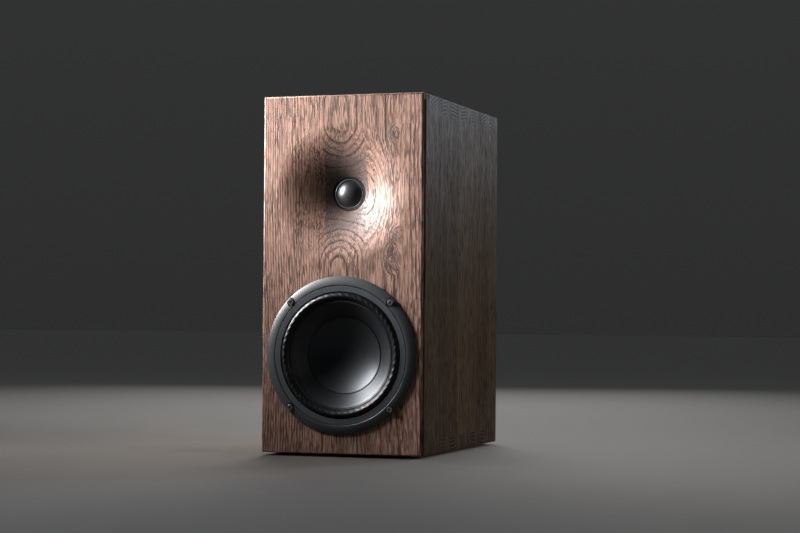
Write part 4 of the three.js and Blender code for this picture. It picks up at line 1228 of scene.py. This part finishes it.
for colour, pigment in (("red", (0.36, 0.012, 0.012)), ("black", (0.018, 0.018, 0.020))):
    x = POSTS[colour]
    centre = Vector((x, 0, TERMINAL_Z))
    cap_low, cap_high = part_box(f"post_cap_{colour}")
    knob = Finish(f"{colour}_cap_plastic", pigment, 0.32, Coat_Weight=0.3)
    knob.set("Roughness", knob.between(knob.noise(400), 0.3, 0.7, 0.28, 0.38))
    bore = 4 * MM
    ends = [(0, -0.9), (0.35, -0.3), (0.9, 0)]
    cap_profile = [(bore, cap_low.y)]
    cap_profile += [(CAP_RADIUS + inset * MM, cap_low.y + up * MM) for up, inset in ends]
    cap_profile += [(CAP_RADIUS, cap_low.y + (cap_high.y - cap_low.y) * k / 8) for k in range(1, 8)]
    cap_profile += [(CAP_RADIUS + inset * MM, cap_high.y - up * MM) for up, inset in reversed(ends)]
    cap_profile += [(bore + 0.6 * MM, cap_high.y), (bore, cap_high.y - 0.6 * MM)]
    knob_mesh = turned(cap_profile, centre, 128)
    for vert in knob_mesh.vertices:
        out = Vector((vert.co.x - centre.x, vert.co.z - centre.z))
        if out.length > 6 * MM:
            swell = FLUTE_DEPTH * math.cos(FLUTES * math.atan2(out.y, out.x))
            out *= 1 + swell / out.length
            vert.co.x, vert.co.z = centre.x + out.x, centre.z + out.y
    finished(f"post_cap_{colour}", knob_mesh, knob.material, f"{colour}_cap")
    washer = ring_for(f"post_washer_{colour}", STUD + 0.3 * MM, 0.25 * MM)
    finished(f"post_washer_{colour}", washer, gold.material, f"{colour}_washer")
    stud_low, stud_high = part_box(f"post_stud_{colour}")
    base = plate_high.y
    stud_profile = [(0, stud_low.y), (STUD - 0.6 * MM, stud_low.y), (STUD, stud_low.y + 1 * MM)]
    stud_profile += [(STUD, base), (STUD, base + 0.3 * MM), (COLLAR - 0.4 * MM, base + 0.3 * MM)]
    stud_profile += [(COLLAR, base + 0.7 * MM), (COLLAR, base + 3.9 * MM)]
    stud_profile.append((COLLAR - 0.4 * MM, base + 4.3 * MM))
    stud_profile += [(STUD, base + 4.3 * MM), (STUD, stud_high.y - 0.5 * MM), (STUD - 0.5 * MM, stud_high.y)]
    stud_profile += [(2.6 * MM, stud_high.y), (2.1 * MM, stud_high.y - 0.5 * MM), (2.1 * MM, base + 6 * MM)]
    stud_profile.append((0, base + 6 * MM))
    finished(f"post_stud_{colour}", turned(stud_profile, centre, 64), gold.material, "cabinet")
    nut_low, nut_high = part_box(f"post_nut_{colour}")
    nut = turned([(0, nut_low.y), (7 * MM, nut_low.y), (7 * MM, nut_high.y), (0, nut_high.y)], centre, 6)
    nut_hole = hole(STUD + 0.3 * MM, x, TERMINAL_Z, nut_low.y - 1 * MM, nut_high.y + 1 * MM, 32)
    crown = turned(
        [
            (0, nut_low.y), (6.2 * MM, nut_low.y), (7.1 * MM, nut_low.y + 0.6 * MM),
            (7.1 * MM, nut_high.y - 0.6 * MM), (6.2 * MM, nut_high.y), (0, nut_high.y),
        ],
        centre, 64,
    )
    nut = carved(nut, [("INTERSECT", crown), ("DIFFERENCE", nut_hole)])
    finished(f"post_nut_{colour}", nut, zinc.material, "cabinet")

# ---- Cleats and brace -----------------------------------------------------------------------
# Birch plywood, its plies showing at the edges: two cleats for the back panel's screws, and a
# shelf between the drivers with a grid of round holes that stiffens the sides.
PLY = 1.4 * MM


def plywood(name, normal):
    """Plies stacked along the normal's axis, light and dark in turn."""
    ply = Finish(name, None, 0.62)
    axes = ply.node("SeparateXYZ", {0: ply.position()}).outputs
    turn = ply.math("PINGPONG", ply.math("DIVIDE", axes[normal], PLY), 1.0)
    grid = [260.0] * 3
    grid[(normal + 1) % 3] = 18.0
    figure = ply.noise(1.0, 3, 0.6, ply.position(grid))
    pale = ply.mix(ply.between(figure, 0.3, 0.7), (0.50, 0.34, 0.18), (0.66, 0.48, 0.28))
    ply.set("Base Color", ply.mix(ply.math("MULTIPLY", turn, 0.45), pale, (0.30, 0.18, 0.09)))
    ply.bump(figure, 0.05 * MM, 0.4)
    return ply.material


cleat_ply = plywood("birch_ply_cleat", X)
shelf_ply = plywood("birch_ply_shelf", Z)
for name in ("rear_cleat_left", "rear_cleat_right"):
    low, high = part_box(name)
    finished(name, box_mesh(low, high, None, 0.6 * MM, 2), cleat_ply, "cabinet")
low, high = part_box("shelf_brace")
cleat_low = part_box("rear_cleat_right")[0]
neck, step = cleat_low.x - 0.2 * MM, cleat_low.y - 0.2 * MM
brace = slab(
    [
        (low.x, low.y), (high.x, low.y), (high.x, step), (neck, step),
        (neck, high.y), (-neck, high.y), (-neck, step), (low.x, step),
    ],
    (X, Y), low.z, high.z,
)
HOLE_ROWS = [FACE + (78 + 48 * k) * MM for k in range(4)]
HOLE_RADIUS = 16 * MM
under, over = low.z - 1 * MM, high.z + 1 * MM
brace_cuts = []
for x in (-45 * MM, 0, 45 * MM):
    for y in HOLE_ROWS:
        profile = [(0, under), (HOLE_RADIUS, under), (HOLE_RADIUS, over), (0, over)]
        brace_cuts.append(("DIFFERENCE", turned(profile, Vector((x, y, 0)), 48, True)))
finished("shelf_brace", carved(brace, brace_cuts), shelf_ply, "cabinet")

# ---- Felt linings ---------------------------------------------------------------------------
# Pads of grey wool felt, fixed inside the sides above the brace. Their edges are soft and
# their faces uneven.
wool = Finish("wool_felt", (0.30, 0.29, 0.27), 0.95, Sheen_Weight=0.4, Sheen_Roughness=0.5)
tufts = wool.noise(1 / (2.2 * MM), 4, 0.7)
wool.set("Base Color", wool.mix(wool.between(tufts, 0.35, 0.65), (0.22, 0.21, 0.20), (0.38, 0.37, 0.35)))
wool.bump(tufts, 0.5 * MM, 0.7)


FELT_ROUNDS = 5  # of cutting long edges in two


def felt_pad(node):
    """A pad in the node's box: its corners pulled in and its broad faces lumpy."""
    low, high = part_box(node)
    centre, half = (low + high) / 2, (high - low) / 2
    mesh = box_mesh(low, high, None, 2.5 * MM, 3)
    work = bmesh.new()
    work.from_mesh(mesh)
    bmesh.ops.triangulate(work, faces=[f for f in work.faces if len(f.verts) > 4])
    for _ in range(FELT_ROUNDS):
        long_edges = [e for e in work.edges if e.calc_length() > 8 * MM]
        bmesh.ops.subdivide_edges(work, edges=long_edges, cuts=1, use_grid_fill=True)
    for vert in work.verts:
        y, z = (vert.co.y - centre.y) / MM, (vert.co.z - centre.z) / MM
        waves = math.sin(y / 9.0 + 1.3 * math.sin(z / 17.0)), math.sin(z / 11.0 + y / 23.0)
        lump = 0.5 + 0.25 * waves[0] + 0.25 * waves[1]
        vert.co.x = centre.x + (vert.co.x - centre.x) * (1 - 0.10 * lump)
    bmesh.ops.triangulate(work, faces=work.faces)
    return outward(work, "felt")


for name in ("felt_lining_left", "felt_lining_right"):
    lining = finished(name, felt_pad(name), wool.material, "cabinet")

# ---- Crossover and leads --------------------------------------------------------------------
# Inductors, film capacitors and a cement resistor on a small board that lies on the bottom. Black
# two-core leads run to the drivers and in from the posts.
board_low, board_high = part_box("crossover_board")
finished("crossover_board", box_mesh(board_low, board_high, None, 0.6 * MM, 2), shelf_ply, "cabinet")
finished("woofer_inductor", wound("woofer_inductor", 11 * MM, 1.2 * MM, True), copper.material, "cabinet")
finished("tweeter_inductor", wound("tweeter_inductor", 7 * MM, 0.8 * MM, True), copper.material, "cabinet")
film = Finish("capacitor_film", (0.42, 0.30, 0.06), 0.3, Coat_Weight=0.5)
film.set("Roughness", film.between(film.noise(300), 0.3, 0.7, 0.24, 0.36))
for k in (1, 2):
    name = f"crossover_capacitor_{k}"
    low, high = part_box(name)
    can = (high.x - low.x) / 2
    front_end, rear_end = low.y + 0.8 * MM, high.y - 0.8 * MM
    profile = [(0, front_end), (can - 2 * MM, front_end), (can - 1.4 * MM, low.y), (can, low.y)]
    profile += [(can, high.y), (can - 1.4 * MM, high.y), (can - 2 * MM, rear_end), (0, rear_end)]
    finished(name, turned(eased(profile, 0.5 * MM), middle_of(name), 64), film.material, "cabinet")
cement = Finish("cement", (0.56, 0.54, 0.50), 0.85)
cement.bump(cement.noise(1100, 3, 0.7), 0.15 * MM, 0.7)
low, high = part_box("crossover_resistor")
finished("crossover_resistor", box_mesh(low, high, None, 0.8 * MM, 3), cement.material, "cabinet")
sheath = Finish("lead_sheath", (0.020, 0.020, 0.022), 0.45)
sheath.set("Roughness", sheath.between(sheath.noise(300), 0.3, 0.7, 0.40, 0.52))
for name in ("woofer_lead", "tweeter_lead", "input_lead"):
    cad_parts[name].data.materials.clear()
    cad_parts[name].data.materials.append(sheath.material)
